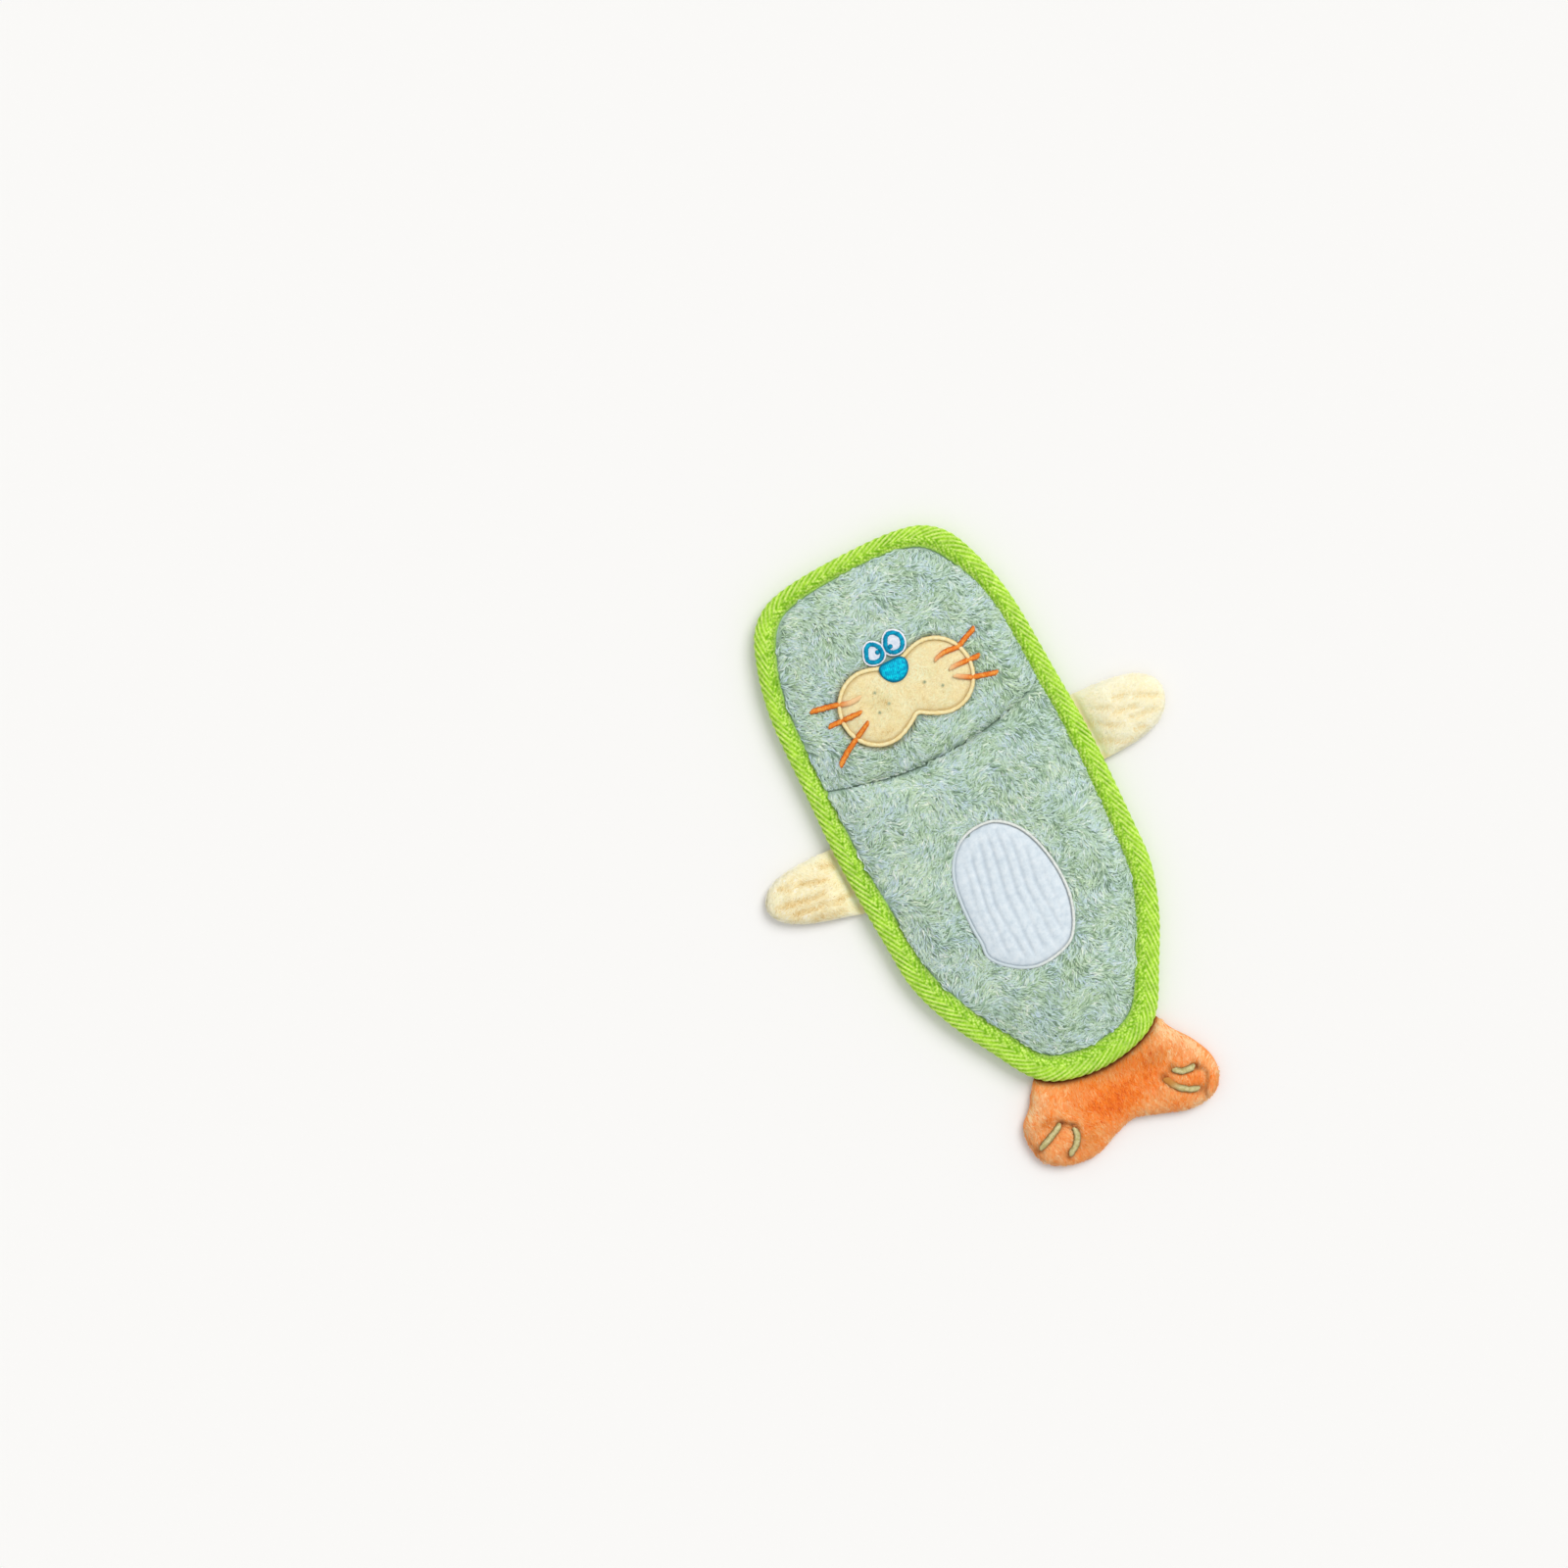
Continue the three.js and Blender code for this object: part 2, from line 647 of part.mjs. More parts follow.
// A raised line of satin stitch along a closed loop, inside it.
function stitchedRing(loop, width, height, supports) {
  const section = [
    [0, 0], [0, 0.5], [0.25, 1], [0.75, 1], [1, 0.5], [1, 0],
  ];
  const runs = section.map(([across]) => inset(loop, across * width));
  const seats = loop.map((unused, i) => Math.max(...runs.map((run) => heightOn(supports, run[i]))) + clearance);
  const rings = loop.map((unused, i) =>
    runs.map((run, s) => vector(run[i].x, run[i].y, seats[i] + section[s][1] * height)),
  );
  return loft(rings, true);
}

// A bar of satin stitch along a path, riding over what lies under it.
function stitchedBar(path, width, height, supports) {
  const curve = new THREE.CatmullRomCurve3(path, false, "centripetal");
  const places = curve.getSpacedPoints(barSteps);
  const across = places.map((unused, k) => {
    const along = curve.getTangentAt(k / barSteps);
    return vector(-along.y, along.x);
  });
  const beside = (k, share) => places[k].clone().addScaledVector(across[k], (share * width) / 2);
  const under = places.map((unused, k) => Math.max(...[-1, 0, 1].map((share) => heightOn(supports, beside(k, share)))));
  const seat = (k) => Math.max(...under.slice(Math.max(0, k - 1), k + 2)) + clearance;
  const section = [
    [-1, 0], [-0.9, 0.6], [-0.35, 1], [0.35, 1], [0.9, 0.6], [1, 0],
  ];
  const rings = places.map((unused, k) =>
    section.map(([share, up]) => {
      const p = beside(k, share);
      return vector(p.x, p.y, seat(k) + up * height);
    }),
  );
  return loft(rings);
}

// A small raised spot of stitches with a flat seat over everything under it.
function stitchedSpot(loop, middle, height, supports) {
  const seat = Math.max(...loop.map((p) => heightOn(supports, p)), heightOn(supports, middle)) + clearance;
  return loft([
    lifted([middle], seat + height),
    lifted(drawnIn(loop, middle, 0.6), seat + 0.85 * height),
    lifted(loop, seat + 0.35 * height),
    lifted(loop, seat),
    lifted([middle], seat),
  ]);
}

// An oval whose upper and lower ends can be squarer or more pointed than an ellipse.
function oval(middle, width, length, steps, upper = 2, lower = 2) {
  return Array.from({ length: steps }, (unused, k) => {
    const angle = (2 * Math.PI * k) / steps;
    const power = 2 / (Math.sin(angle) > 0 ? upper : lower);
    const x = Math.sign(Math.cos(angle)) * Math.abs(Math.cos(angle)) ** power;
    const y = Math.sign(Math.sin(angle)) * Math.abs(Math.sin(angle)) ** power;
    return vector(middle.x + (x * width) / 2, middle.y + (y * length) / 2);
  });
}

const muzzleMiddle = vector(faceOffset, padTop - muzzleDownShare * headLength);

// The muzzle: two round lobes with a rounded dip between them above and below.
function muzzleLoop() {
  const spread = muzzleWidth / 2 - muzzleLobe;
  const dip = (depth) => {
    const radius = (spread ** 2 + depth ** 2 - muzzleLobe ** 2) / (2 * (muzzleLobe - depth));
    return { radius, centre: depth + radius, half: Math.atan2(spread, depth + radius) };
  };
  const [upper, lower] = [dip(muzzleSaddle), dip(muzzleNotch)];
  const arc = (cx, cy, radius, from, to, steps) =>
    Array.from({ length: steps }, (unused, k) => {
      const angle = mix(from, to, k / steps);
      return vector(muzzleMiddle.x + cx + radius * Math.cos(angle), muzzleMiddle.y + cy + radius * Math.sin(angle));
    });
  const quarter = Math.PI / 2;
  return [
    ...arc(spread, 0, muzzleLobe, -quarter - lower.half, quarter + upper.half, lobeSteps),
    ...arc(0, upper.centre, upper.radius, upper.half - quarter, -upper.half - quarter, waistSteps),
    ...arc(-spread, 0, muzzleLobe, quarter - upper.half, 3 * quarter + lower.half, lobeSteps),
    ...arc(0, -lower.centre, lower.radius, quarter + lower.half, quarter - lower.half, waistSteps),
  ];
}

// The belly's patch with ribs along its length, lofted from end to end.
function ribbedPatch(middle, width, length, supports) {
  const halfAt = (along) => {
    const power = along > 0 ? 2.2 : 2.8;
    return (width / 2) * (1 - Math.abs(along) ** power) ** (1 / power);
  };
  const topSteps = Math.round((ribSteps * width) / patchRib);
  const seat = (p) => heightOn(supports, p) + clearance;
  const rib = (x) => (patchGroove * (1 + Math.cos((2 * Math.PI * x) / patchRib))) / 2;
  const row = (along, steps, turn, height) =>
    Array.from({ length: steps + 1 }, (unused, k) => {
      const x = turn * halfAt(along) * (1 - (2 * k) / steps);
      const p = vector(middle.x + x, middle.y + (along * length) / 2);
      return lifted([p], seat(p) + height(x))[0];
    });
  const rings = Array.from({ length: patchSections }, (unused, k) => {
    const along = -Math.cos((Math.PI * (k + 0.6)) / (patchSections + 0.2));
    return [...row(along, topSteps, -1, (x) => patchCloth - rib(x)), ...row(along, acrossSteps, 1, () => 0)];
  });
  const end = (along) => {
    const p = vector(middle.x, middle.y + (along * length) / 2);
    return lifted([p], seat(p) + patchCloth / 2);
  };
  return loft([end(-1), ...rings, end(1)]);
}

// The toy: the belly holds everything, and head, flippers and tail each hang on their fold.
const toy = new THREE.Group();

function hinged(x, y, z) {
  const group = new THREE.Group();
  group.position.set(x, y, z);
  toy.add(group);
  return group;
}

function material(colour, roughness = 0.95) {
  return new THREE.MeshStandardMaterial({ color: colour, roughness, metalness: 0 });
}

// Adds a piece that was shaped in the toy's frame to the group of its body.
function piece(group, name, geometry, finish) {
  const support = new THREE.Mesh(geometry);
  const { x, y, z } = group.position;
  const mesh = new THREE.Mesh(geometry.clone().translate(-x, -y, -z), finish);
  mesh.name = name;
  group.add(mesh);
  return support;
}

const plushFinish = material(colours.plush);
const tapeFinish = material(colours.binding, 0.8);
const fillingFinish = material(colours.filling);
const filmFinish = material(colours.film, 0.3);

const bellyGroup = hinged(0, 0, 0);
const headGroup = hinged(0, hingeY, edgeHeight);

const bellyFront = piece(bellyGroup, "front_belly_panel", padCover(belly, frontOuter, frontInner, 1), plushFinish);
piece(bellyGroup, "back_belly_panel", padCover(belly, backOuter, backInner, -1), plushFinish);
piece(bellyGroup, "belly_binding", binding(belly), tapeFinish);
piece(bellyGroup, "belly_crinkle_sheet", padLayer(belly, filmTop, filmBottom), filmFinish);
piece(bellyGroup, "belly_filling", padLayer(belly, fillingTop, fillingBottom, squeakerWell()), fillingFinish);
piece(bellyGroup, "squeaker_shell", squeakerShell(), material(colours.squeaker, 0.4));
piece(bellyGroup, "squeaker_reed", squeakerReed(), material(colours.reed, 0.4));

const headFront = piece(headGroup, "front_head_panel", padCover(head, frontOuter, frontInner, 1), plushFinish);
piece(headGroup, "back_head_panel", padCover(head, backOuter, backInner, -1), plushFinish);
piece(headGroup, "head_binding", binding(head), tapeFinish);
piece(headGroup, "head_crinkle_sheet", padLayer(head, filmTop, filmBottom), filmFinish);
piece(headGroup, "head_filling", padLayer(head, fillingTop, fillingBottom), fillingFinish);

// The belly's patch.
const patchMiddle = vector(faceOffset, foldY - patchDownShare * bellyLength);
const patchLoop = oval(patchMiddle, patchWidth, patchLength, patchSteps, 2.2, 2.8);
const patchInside = 2 * (patchBorder + clearance);
piece(
  bellyGroup,
  "belly_patch",
  ribbedPatch(patchMiddle, patchWidth - patchInside, patchLength - patchInside, [bellyFront]),
  material(colours.patch),
);
piece(
  bellyGroup,
  "belly_patch_border",
  stitchedRing(patchLoop, patchBorder, borderHeight, [bellyFront]),
  material(colours.patchBorder, 0.6),
);

// The face.
const muzzle = muzzleLoop();
const muzzleInner = inset(muzzle, muzzleBorder + clearance);
const muzzlePatch = piece(
  headGroup,
  "muzzle_patch",
  appliqued(muzzleInner, muzzleMiddle, appliqueCloth, appliqueCloth / 2, [headFront], patchRingShares),
  material(colours.muzzle),
);
const muzzleEdge = piece(
  headGroup,
  "muzzle_border",
  stitchedRing(muzzle, muzzleBorder, borderHeight, [headFront]),
  material(colours.muzzleBorder, 0.6),
);
const face = [headFront, muzzlePatch, muzzleEdge];

const noseMiddle = vector(faceOffset, muzzleMiddle.y + noseRise);
piece(
  headGroup,
  "nose",
  stitchedSpot(oval(noseMiddle, noseWidth, noseLength, roundSteps, 3, 1.8), noseMiddle, noseHeight, face),
  material(colours.nose, 0.5),
);

for (const [name, side] of [["left", -1], ["right", 1]]) {
  const middle = vector(faceOffset + (side * eyeSpacing) / 2, muzzleMiddle.y + eyesRise);
  const loop = oval(middle, eyeWidth, eyeLength, eyeSteps);
  const ground = piece(
    headGroup,
    `${name}_eye_white`,
    appliqued(loop, middle, eyeGround, 0, [headFront]),
    material(colours.eyeWhite, 0.6),
  );
  const supports = [headFront, ground];
  piece(
    headGroup,
    `${name}_eye_ring`,
    stitchedRing(loop, eyeStroke, stitchHeight, supports),
    material(colours.blue, 0.5),
  );
  const toRing = eyeWidth / 2 - eyeStroke - clearance - pupilRadius;
  const pupil = vector(middle.x - side * Math.max(0, toRing), middle.y);
  piece(
    headGroup,
    `${name}_pupil`,
    stitchedSpot(oval(pupil, 2 * pupilRadius, 2 * pupilRadius, spotSteps), pupil, stitchHeight, supports),
    material(colours.blue, 0.5),
  );
}

const faceAt = ([across, up]) => vector(muzzleMiddle.x + across * muzzleWidth, muzzleMiddle.y + up * muzzleWidth);
for (const [name, places] of whiskerPathShares) {
  const bar = stitchedBar(places.map(faceAt), whiskerWidth, stitchHeight, face);
  piece(headGroup, name, bar, material(colours.orange, 0.5));
}
for (const [name, place] of muzzleDotShares) {
  const middle = faceAt(place);
  const loop = oval(middle, 2 * dotRadius, 2 * dotRadius, spotSteps);
  piece(headGroup, name, stitchedSpot(loop, middle, stitchHeight, face), material(colours.dots));
}

// The flippers.
const flipperFinish = material(colours.flipper);
for (const [name, flipper] of Object.entries(flippers)) {
  const group = hinged(flipper.side * flipperHinge, flipper.root, limbZ);
  piece(group, `${name}_flipper_front`, flipperFront(flipper), flipperFinish);
  piece(group, `${name}_flipper_back`, flipperBack(flipper), flipperFinish);
  piece(group, `${name}_flipper_filling`, flipperFilling(flipper), fillingFinish);
  piece(bellyGroup, `${name}_flipper_tab`, flipperTab(flipper), flipperFinish);
}

// The tail.
const tailFinish = material(colours.tail);
const tailGroup = hinged(0, tailHinge, limbZ);
const { frontOuter: tailTop, frontInner: tailRoof, backOuter: tailSole, backInner: tailFloor } = limbHeights;
const coverShares = [1, ...tailRingShares];
const tailFront = piece(tailGroup, "tail_front", tailLayer(tailTop, tailRoof, coverShares), tailFinish);
piece(tailGroup, "tail_back", tailLayer(tailFloor, tailSole, coverShares), tailFinish);
piece(
  tailGroup,
  "tail_filling",
  tailLayer(
    (bulge, cover) => tailRoof(bulge, cover) - clearance,
    (bulge, cover) => tailFloor(bulge, cover) + clearance,
    tailRingShares.slice(1),
  ),
  fillingFinish,
);
piece(bellyGroup, "tail_tab", tailTab(), tailFinish);
const tailAt = ([across, up]) => vector(across * tailWidth, tailMiddle.y + up * tailLength);
for (const [name, places] of toePathShares) {
  const bar = stitchedBar(places.map(tailAt), toeWidth, toeHeight, [tailFront]);
  piece(tailGroup, name, bar, material(colours.toes, 0.6));
}

export default toy;
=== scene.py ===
import math

import bpy
import numpy as np
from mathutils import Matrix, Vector


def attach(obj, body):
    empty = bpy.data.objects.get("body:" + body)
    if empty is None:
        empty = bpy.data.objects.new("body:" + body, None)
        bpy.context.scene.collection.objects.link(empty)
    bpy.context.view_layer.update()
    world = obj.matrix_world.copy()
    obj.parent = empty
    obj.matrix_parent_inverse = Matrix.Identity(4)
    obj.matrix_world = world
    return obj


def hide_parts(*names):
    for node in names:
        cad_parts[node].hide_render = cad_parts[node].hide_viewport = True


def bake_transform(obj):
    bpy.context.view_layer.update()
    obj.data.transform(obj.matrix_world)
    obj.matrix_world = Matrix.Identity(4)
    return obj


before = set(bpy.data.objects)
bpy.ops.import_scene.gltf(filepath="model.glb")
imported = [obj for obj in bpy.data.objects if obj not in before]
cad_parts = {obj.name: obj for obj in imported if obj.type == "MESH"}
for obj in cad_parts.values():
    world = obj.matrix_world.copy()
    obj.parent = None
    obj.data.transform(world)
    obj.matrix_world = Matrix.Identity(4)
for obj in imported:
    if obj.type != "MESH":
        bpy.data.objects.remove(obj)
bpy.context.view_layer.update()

mm = 0.001


# Camera, light and floor

photoView = {
    "aim": (-65.3, 64.1),  # mm, the point of the toy's plane in the middle of the picture
    "plane": 8,  # mm, how high that plane is
    "distance": 2000,
    "across": 666.7,  # mm of the toy's plane from the picture's left edge to its right
    "roll": -27.7,
    "sensor": 36,
}

studio = {
    "sky": 0.64,
    "key": 1.48,
    "keySpread": 36,  # degrees, how soft the shadows are
    "keyHeading": 25.4,  # degrees from the toy's X axis
    "keyHeight": 50,
    "floor": (250, 249, 247),
    "floorSize": 6000,
}


def linear(colour):
    shares = [c / 255 for c in colour]
    return [s / 12.92 if s <= 0.04045 else ((s + 0.055) / 1.055) ** 2.4 for s in shares] + [1.0]


def placed(name, content):
    made = bpy.data.objects.new(name, content)
    bpy.context.scene.collection.objects.link(made)
    return made


def setStudio():
    scene = bpy.context.scene
    scene.view_settings.view_transform = "Standard"
    lens = bpy.data.cameras.new("photo_camera")
    lens.sensor_width = photoView["sensor"]
    lens.lens = photoView["sensor"] * photoView["distance"] / photoView["across"]
    lens.clip_start = 0.01
    lens.clip_end = 100
    camera = placed("photo_camera", lens)
    x, y = photoView["aim"]
    camera.location = Vector((x, y, photoView["plane"] + photoView["distance"])) * mm
    camera.rotation_euler = (0, 0, math.radians(photoView["roll"]))
    scene.camera = camera

    lamp = bpy.data.lights.new("key_light", "SUN")
    lamp.energy = studio["key"]
    lamp.angle = math.radians(studio["keySpread"])
    heading, height = math.radians(studio["keyHeading"]), math.radians(studio["keyHeight"])
    flat = math.cos(height)
    towards = Vector((math.cos(heading) * flat, math.sin(heading) * flat, math.sin(height)))
    placed("key_light", lamp).rotation_euler = towards.to_track_quat("Z", "Y").to_euler()

    world = bpy.data.worlds.new("pale_room")
    world.use_nodes = True
    scene.world = world
    tree = world.node_tree
    seen = addNode(tree, "LightPath").outputs
    either = lambda a, b: addNode(tree, "Math", {0: a, 1: b}, operation="MAXIMUM").outputs[0]
    direct = either(either(seen["Is Camera Ray"], seen["Is Glossy Ray"]), seen["Is Transmission Ray"])
    level = addNode(tree, "Mix", {"Factor": direct, "A": studio["sky"], "B": 1.0})
    setInputs(tree, tree.nodes["Background"], {"Color": (1, 1, 1, 1), "Strength": level.outputs["Result"]})

    corners = studio["floorSize"] / 2 * np.array([(-1, -1, 0), (1, -1, 0), (1, 1, 0), (-1, 1, 0)])
    paper, _, shader = newMaterial("pale_paper", 0.9, specular=0.1)
    shader.inputs["Base Color"].default_value = linear(studio["floor"])
    floor = meshPiece("floor", corners, [np.array([[0, 1, 2, 3]])], paper)


# Materials

# Links or sets the inputs of a node, by name or by number.
def setInputs(tree, made, inputs):
    for name, value in inputs.items():
        if isinstance(value, bpy.types.NodeSocket):
            tree.links.new(value, made.inputs[name])
        else:
            made.inputs[name].default_value = value


def addNode(tree, kind, inputs=None, **settings):
    made = tree.nodes.new("ShaderNode" + kind)
    for name, value in settings.items():
        setattr(made, name, value)
    setInputs(tree, made, inputs or {})
    return made


def newMaterial(name, roughness, specular=0.25, sheen=0.0):
    made = bpy.data.materials.new(name)
    made.use_nodes = True
    tree = made.node_tree
    shader = tree.nodes["Principled BSDF"]
    setInputs(tree, shader, {"Roughness": roughness, "Specular IOR Level": specular, "Sheen Weight": sheen,
                             "Sheen Roughness": 0.45})
    return made, tree, shader


def ramp(tree, factor, stops):
    made = addNode(tree, "ValToRGB", {"Fac": factor})
    marks = made.color_ramp.elements
    marks[0].position, marks[0].color = stops[0][0], linear(stops[0][1])
    marks[1].position, marks[1].color = stops[-1][0], linear(stops[-1][1])
    for place, colour in stops[1:-1]:
        marks.new(place).color = linear(colour)
    return made.outputs["Color"]


# Places in a piece's own frame, in steps of a size in millimetres.
def fitted(tree, size):
    place = addNode(tree, "TexCoord").outputs["Object"]
    return addNode(tree, "Mapping", {"Vector": place, "Scale": [1 / (size * mm)] * 3}).outputs[0]


def noise(tree, size, detail=3.0, rough=0.55):
    inputs = {"Vector": fitted(tree, size), "Scale": 1.0, "Detail": detail, "Roughness": rough}
    return addNode(tree, "TexNoise", inputs).outputs["Fac"]


def attribute(tree, name):
    return addNode(tree, "Attribute", attribute_name=name).outputs["Fac"]


def blended(tree, factor, first, second, mode="MIX"):
    made = addNode(tree, "Mix", {"Factor": factor}, data_type="RGBA", blend_type=mode)
    setInputs(tree, made, {6: first, 7: second})
    return made.outputs[2]


def bumped(tree, shader, height, strength, depth):
    bump = addNode(tree, "Bump", {"Height": height, "Strength": strength, "Distance": depth * mm})
    tree.links.new(bump.outputs[0], shader.inputs["Normal"])


# Mixes colours in: each one as far as the attribute of its name says.
def tinted(tree, colour, tints):
    for name, tint in tints.items():
        if tint:
            colour = blended(tree, attribute(tree, name), colour, linear(tint))
    return colour


# Hair-like pile: each fibre's tone picks its colour, and its root lies in the shade of its neighbours.
# A cast is a pair of tints that the whole pile wanders between, and shade is its colour beside a taller piece.
def pileMaterial(name, stops, rootColour, cast, shade=None):
    made, tree, shader = newMaterial(name, 0.85, specular=0.15, sheen=0.25)
    tone = ramp(tree, attribute(tree, "tone"), stops)
    colour = blended(tree, attribute(tree, "tip"), linear(rootColour), tone)
    wander = ramp(tree, noise(tree, 9.0, 2.0, 0.6), [(0.35, cast[0]), (0.65, cast[1])])
    colour = blended(tree, 1.0, colour, wander, "MULTIPLY")
    tree.links.new(tinted(tree, colour, {"shade": shade}), shader.inputs["Base Color"])
    return made


# A mottled colour with a fine grain. Each of the two is a noise: its size in millimetres, detail and
# roughness. A bump is the grain's strength and its depth.
def mottledMaterial(name, mottle, stops, grain, bump, tints=None, **finish):
    made, tree, shader = newMaterial(name, **finish)
    colour = tinted(tree, ramp(tree, noise(tree, *mottle), stops), tints or {})
    tree.links.new(colour, shader.inputs["Base Color"])
    bumped(tree, shader, noise(tree, *grain), *bump)
    return made


# Knitted backing that shows between the fibres.
def clothMaterial(name, stops, grain=0.9, sheen=0.1, shade=None):
    return mottledMaterial(name, (3.0, 4.0, 0.65), stops, (grain, 4.0, 0.7), (0.5, 0.4), {"shade": shade},
                           roughness=0.95, specular=0.1, sheen=sheen)


# Satin stitches: the thread attribute is 0 between two threads and 1 on top of one, and the low colour between
# two threads is painted shade.
# Where the stitches thin out, the cloth's colour shows through.
def satinMaterial(name, low, high, edge, thin=None, shine=0.25):
    made, tree, shader = newMaterial(name, 0.5, specular=shine)
    mottled = ramp(tree, noise(tree, 1.5, 3.0, 0.6), [(0.38, low), (0.62, high)])
    shaded = blended(tree, attribute(tree, "thread"), linear(low), mottled)
    tree.links.new(tinted(tree, shaded, {"edge": edge, "thin": thin}), shader.inputs["Base Color"])
    return made


# Meshes

def meshPiece(name, points, faces, material, values=None):
    mesh = bpy.data.meshes.new(name)
    corners = np.concatenate([rows.ravel() for rows in faces]).astype(np.int32)
    sizes = np.concatenate([np.full(len(rows), rows.shape[1]) for rows in faces])
    mesh.vertices.add(len(points))
    mesh.vertices.foreach_set("co", (np.asarray(points) * mm).astype(np.float32).ravel())
    mesh.loops.add(len(corners))
    mesh.loops.foreach_set("vertex_index", corners)
    mesh.polygons.add(len(sizes))
    starts = np.concatenate([[0], np.cumsum(sizes)[:-1]]).astype(np.int32)
    mesh.polygons.foreach_set("loop_start", starts)
    mesh.update(calc_edges=True)
    mesh.polygons.foreach_set("use_smooth", np.ones(len(sizes), bool))
    for key, numbers in (values or {}).items():
        made = mesh.attributes.new(name=key, type="FLOAT", domain="POINT")
        made.data.foreach_set("value", np.asarray(numbers, np.float32).ravel())
    mesh.materials.append(material)
    return placed(name, mesh)


def gridFaces(rows, columns, joined=False, around=False):
    index = np.arange(rows * columns).reshape(rows, columns)
    if joined:
        index = np.vstack([index, index[:1]])
    if around:
        index = np.hstack([index, index[:, :1]])
    return np.stack([index[:-1, :-1], index[:-1, 1:], index[1:, 1:], index[1:, :-1]], -1).reshape(-1, 4)


# Closed rings skinned into one body, with flat ends unless the rings join up.
def skinned(name, rings, material, values=None, joined=False):
    rows, columns = rings.shape[:2]
    faces = [gridFaces(rows, columns, joined, around=True)]
    if not joined:
        faces.append(np.arange(columns)[None])
        faces.append(np.arange(rows * columns - 1, (rows - 1) * columns - 1, -1)[None])
    return meshPiece(name, rings.reshape(-1, 3), faces, material, values)


# How far along a path each of its points is.
def lengths(path):
    return np.concatenate([[0], np.cumsum(np.linalg.norm(np.diff(path, axis=0), axis=1))])


# Places from -1 to 1, closer together at both ends.
def arcPlaces(count):
    return np.sin(np.linspace(-1, 1, count) * math.pi / 2)


# A smooth line through a few points, evenly spaced: a closed loop, or an open path.
def smoothLine(points, count, closed=True):
    p = np.asarray(points, float)
    if closed:
        ringed = np.vstack([p[-1:], p, p[:2]])
    else:
        ringed = np.vstack([2 * p[0] - p[1], p, 2 * p[-1] - p[-2]])
    line = []
    for a, b, c, d in zip(ringed, ringed[1:], ringed[2:], ringed[3:]):
        t1 = math.sqrt(np.linalg.norm(b - a))
        t2 = t1 + math.sqrt(np.linalg.norm(c - b))
        t3 = t2 + math.sqrt(np.linalg.norm(d - c))
        t = np.linspace(t1, t2, 25)[:-1, None]
        ab = a + (b - a) * t / t1
        bc = b + (c - b) * (t - t1) / (t2 - t1)
        cd = c + (d - c) * (t - t2) / (t3 - t2)
        abc = ab + (bc - ab) * t / t2
        bcd = bc + (cd - bc) * (t - t1) / (t3 - t1)
        line.append(abc + (bcd - abc) * (t - t1) / (t2 - t1))
    line = np.vstack(line + [p[:1] if closed else p[-1:]])
    along = lengths(line)
    places = np.linspace(0, along[-1], count + 1)[:-1] if closed else np.linspace(0, along[-1], count)
    return np.stack([np.interp(places, along, line[:, k]) for k in (0, 1)], 1)


# Reads a grid smoothly between four of its points, which corner gives.
def bilinear(corner, fu, fv):
    near = corner(0, 0) * (1 - fu) + corner(1, 0) * fu
    far = corner(0, 1) * (1 - fu) + corner(1, 1) * fu
    return near * (1 - fv) + far * fv


def softNoise(x, y, size, seed):
    lattice = np.random.default_rng(seed).random((251, 251))
    u, v = np.asarray(x) / size + 1000.5, np.asarray(y) / size + 1000.5
    i, j = np.floor(u).astype(int), np.floor(v).astype(int)
    fu, fv = u - i, v - j
    fu, fv = fu * fu * (3 - 2 * fu), fv * fv * (3 - 2 * fv)
    return bilinear(lambda a, b: lattice[(i + a) % 251, (j + b) % 251], fu, fv)


def smoothStep(low, high, value):
    t = np.clip((value - low) / (high - low), 0, 1)
    return t * t * (3 - 2 * t)


# 1 where the value is 0, and fading out on both sides over a reach.
def bell(value, reach):
    return np.exp(-(value / reach) ** 2)


# Adds up soft spots, each given by its middle, how far it reaches across and up, and its amount.
def softSpots(spots, x, y):
    return sum(amount * bell(x - cx, across) * bell(y - cy, up) for cx, cy, across, up, amount in spots)


def distanceTo(path, x, y):
    best = np.full(np.shape(x), 1e9)
    for a, b in zip(path[:-1], path[1:]):
        span = b - a
        t = np.clip(((x - a[0]) * span[0] + (y - a[1]) * span[1]) / max(span @ span, 1e-9), 0, 1)
        best = np.minimum(best, np.hypot(x - a[0] - t * span[0], y - a[1] - t * span[1]))
    return best


def boxGrid(low, high, step):
    return np.meshgrid(np.arange(low[0], high[0], step), np.arange(low[1], high[1], step), indexing="ij")


# A field of numbers on a grid that starts at its low corner, read smoothly between its points.
def fieldReader(values, low, step):
    def read(x, y):
        u = np.clip((np.asarray(x) - low[0]) / step, 0, values.shape[0] - 1.001)
        v = np.clip((np.asarray(y) - low[1]) / step, 0, values.shape[1] - 1.001)
        i, j = u.astype(int), v.astype(int)
        return bilinear(lambda a, b: values[i + a, j + b], u - i, v - j)
    return read


def insideLoop(loop, x, y):
    x, y = np.asarray(x, float), np.asarray(y, float)
    crossings = np.zeros(x.shape, int)
    for (ax, ay), (bx, by) in zip(loop, np.roll(loop, -1, axis=0)):
        if ay == by:
            continue
        spans = (ay > y) != (by > y)
        crossings += spans & (x < (bx - ax) * (y - ay) / (by - ay) + ax)
    return crossings % 2 == 1


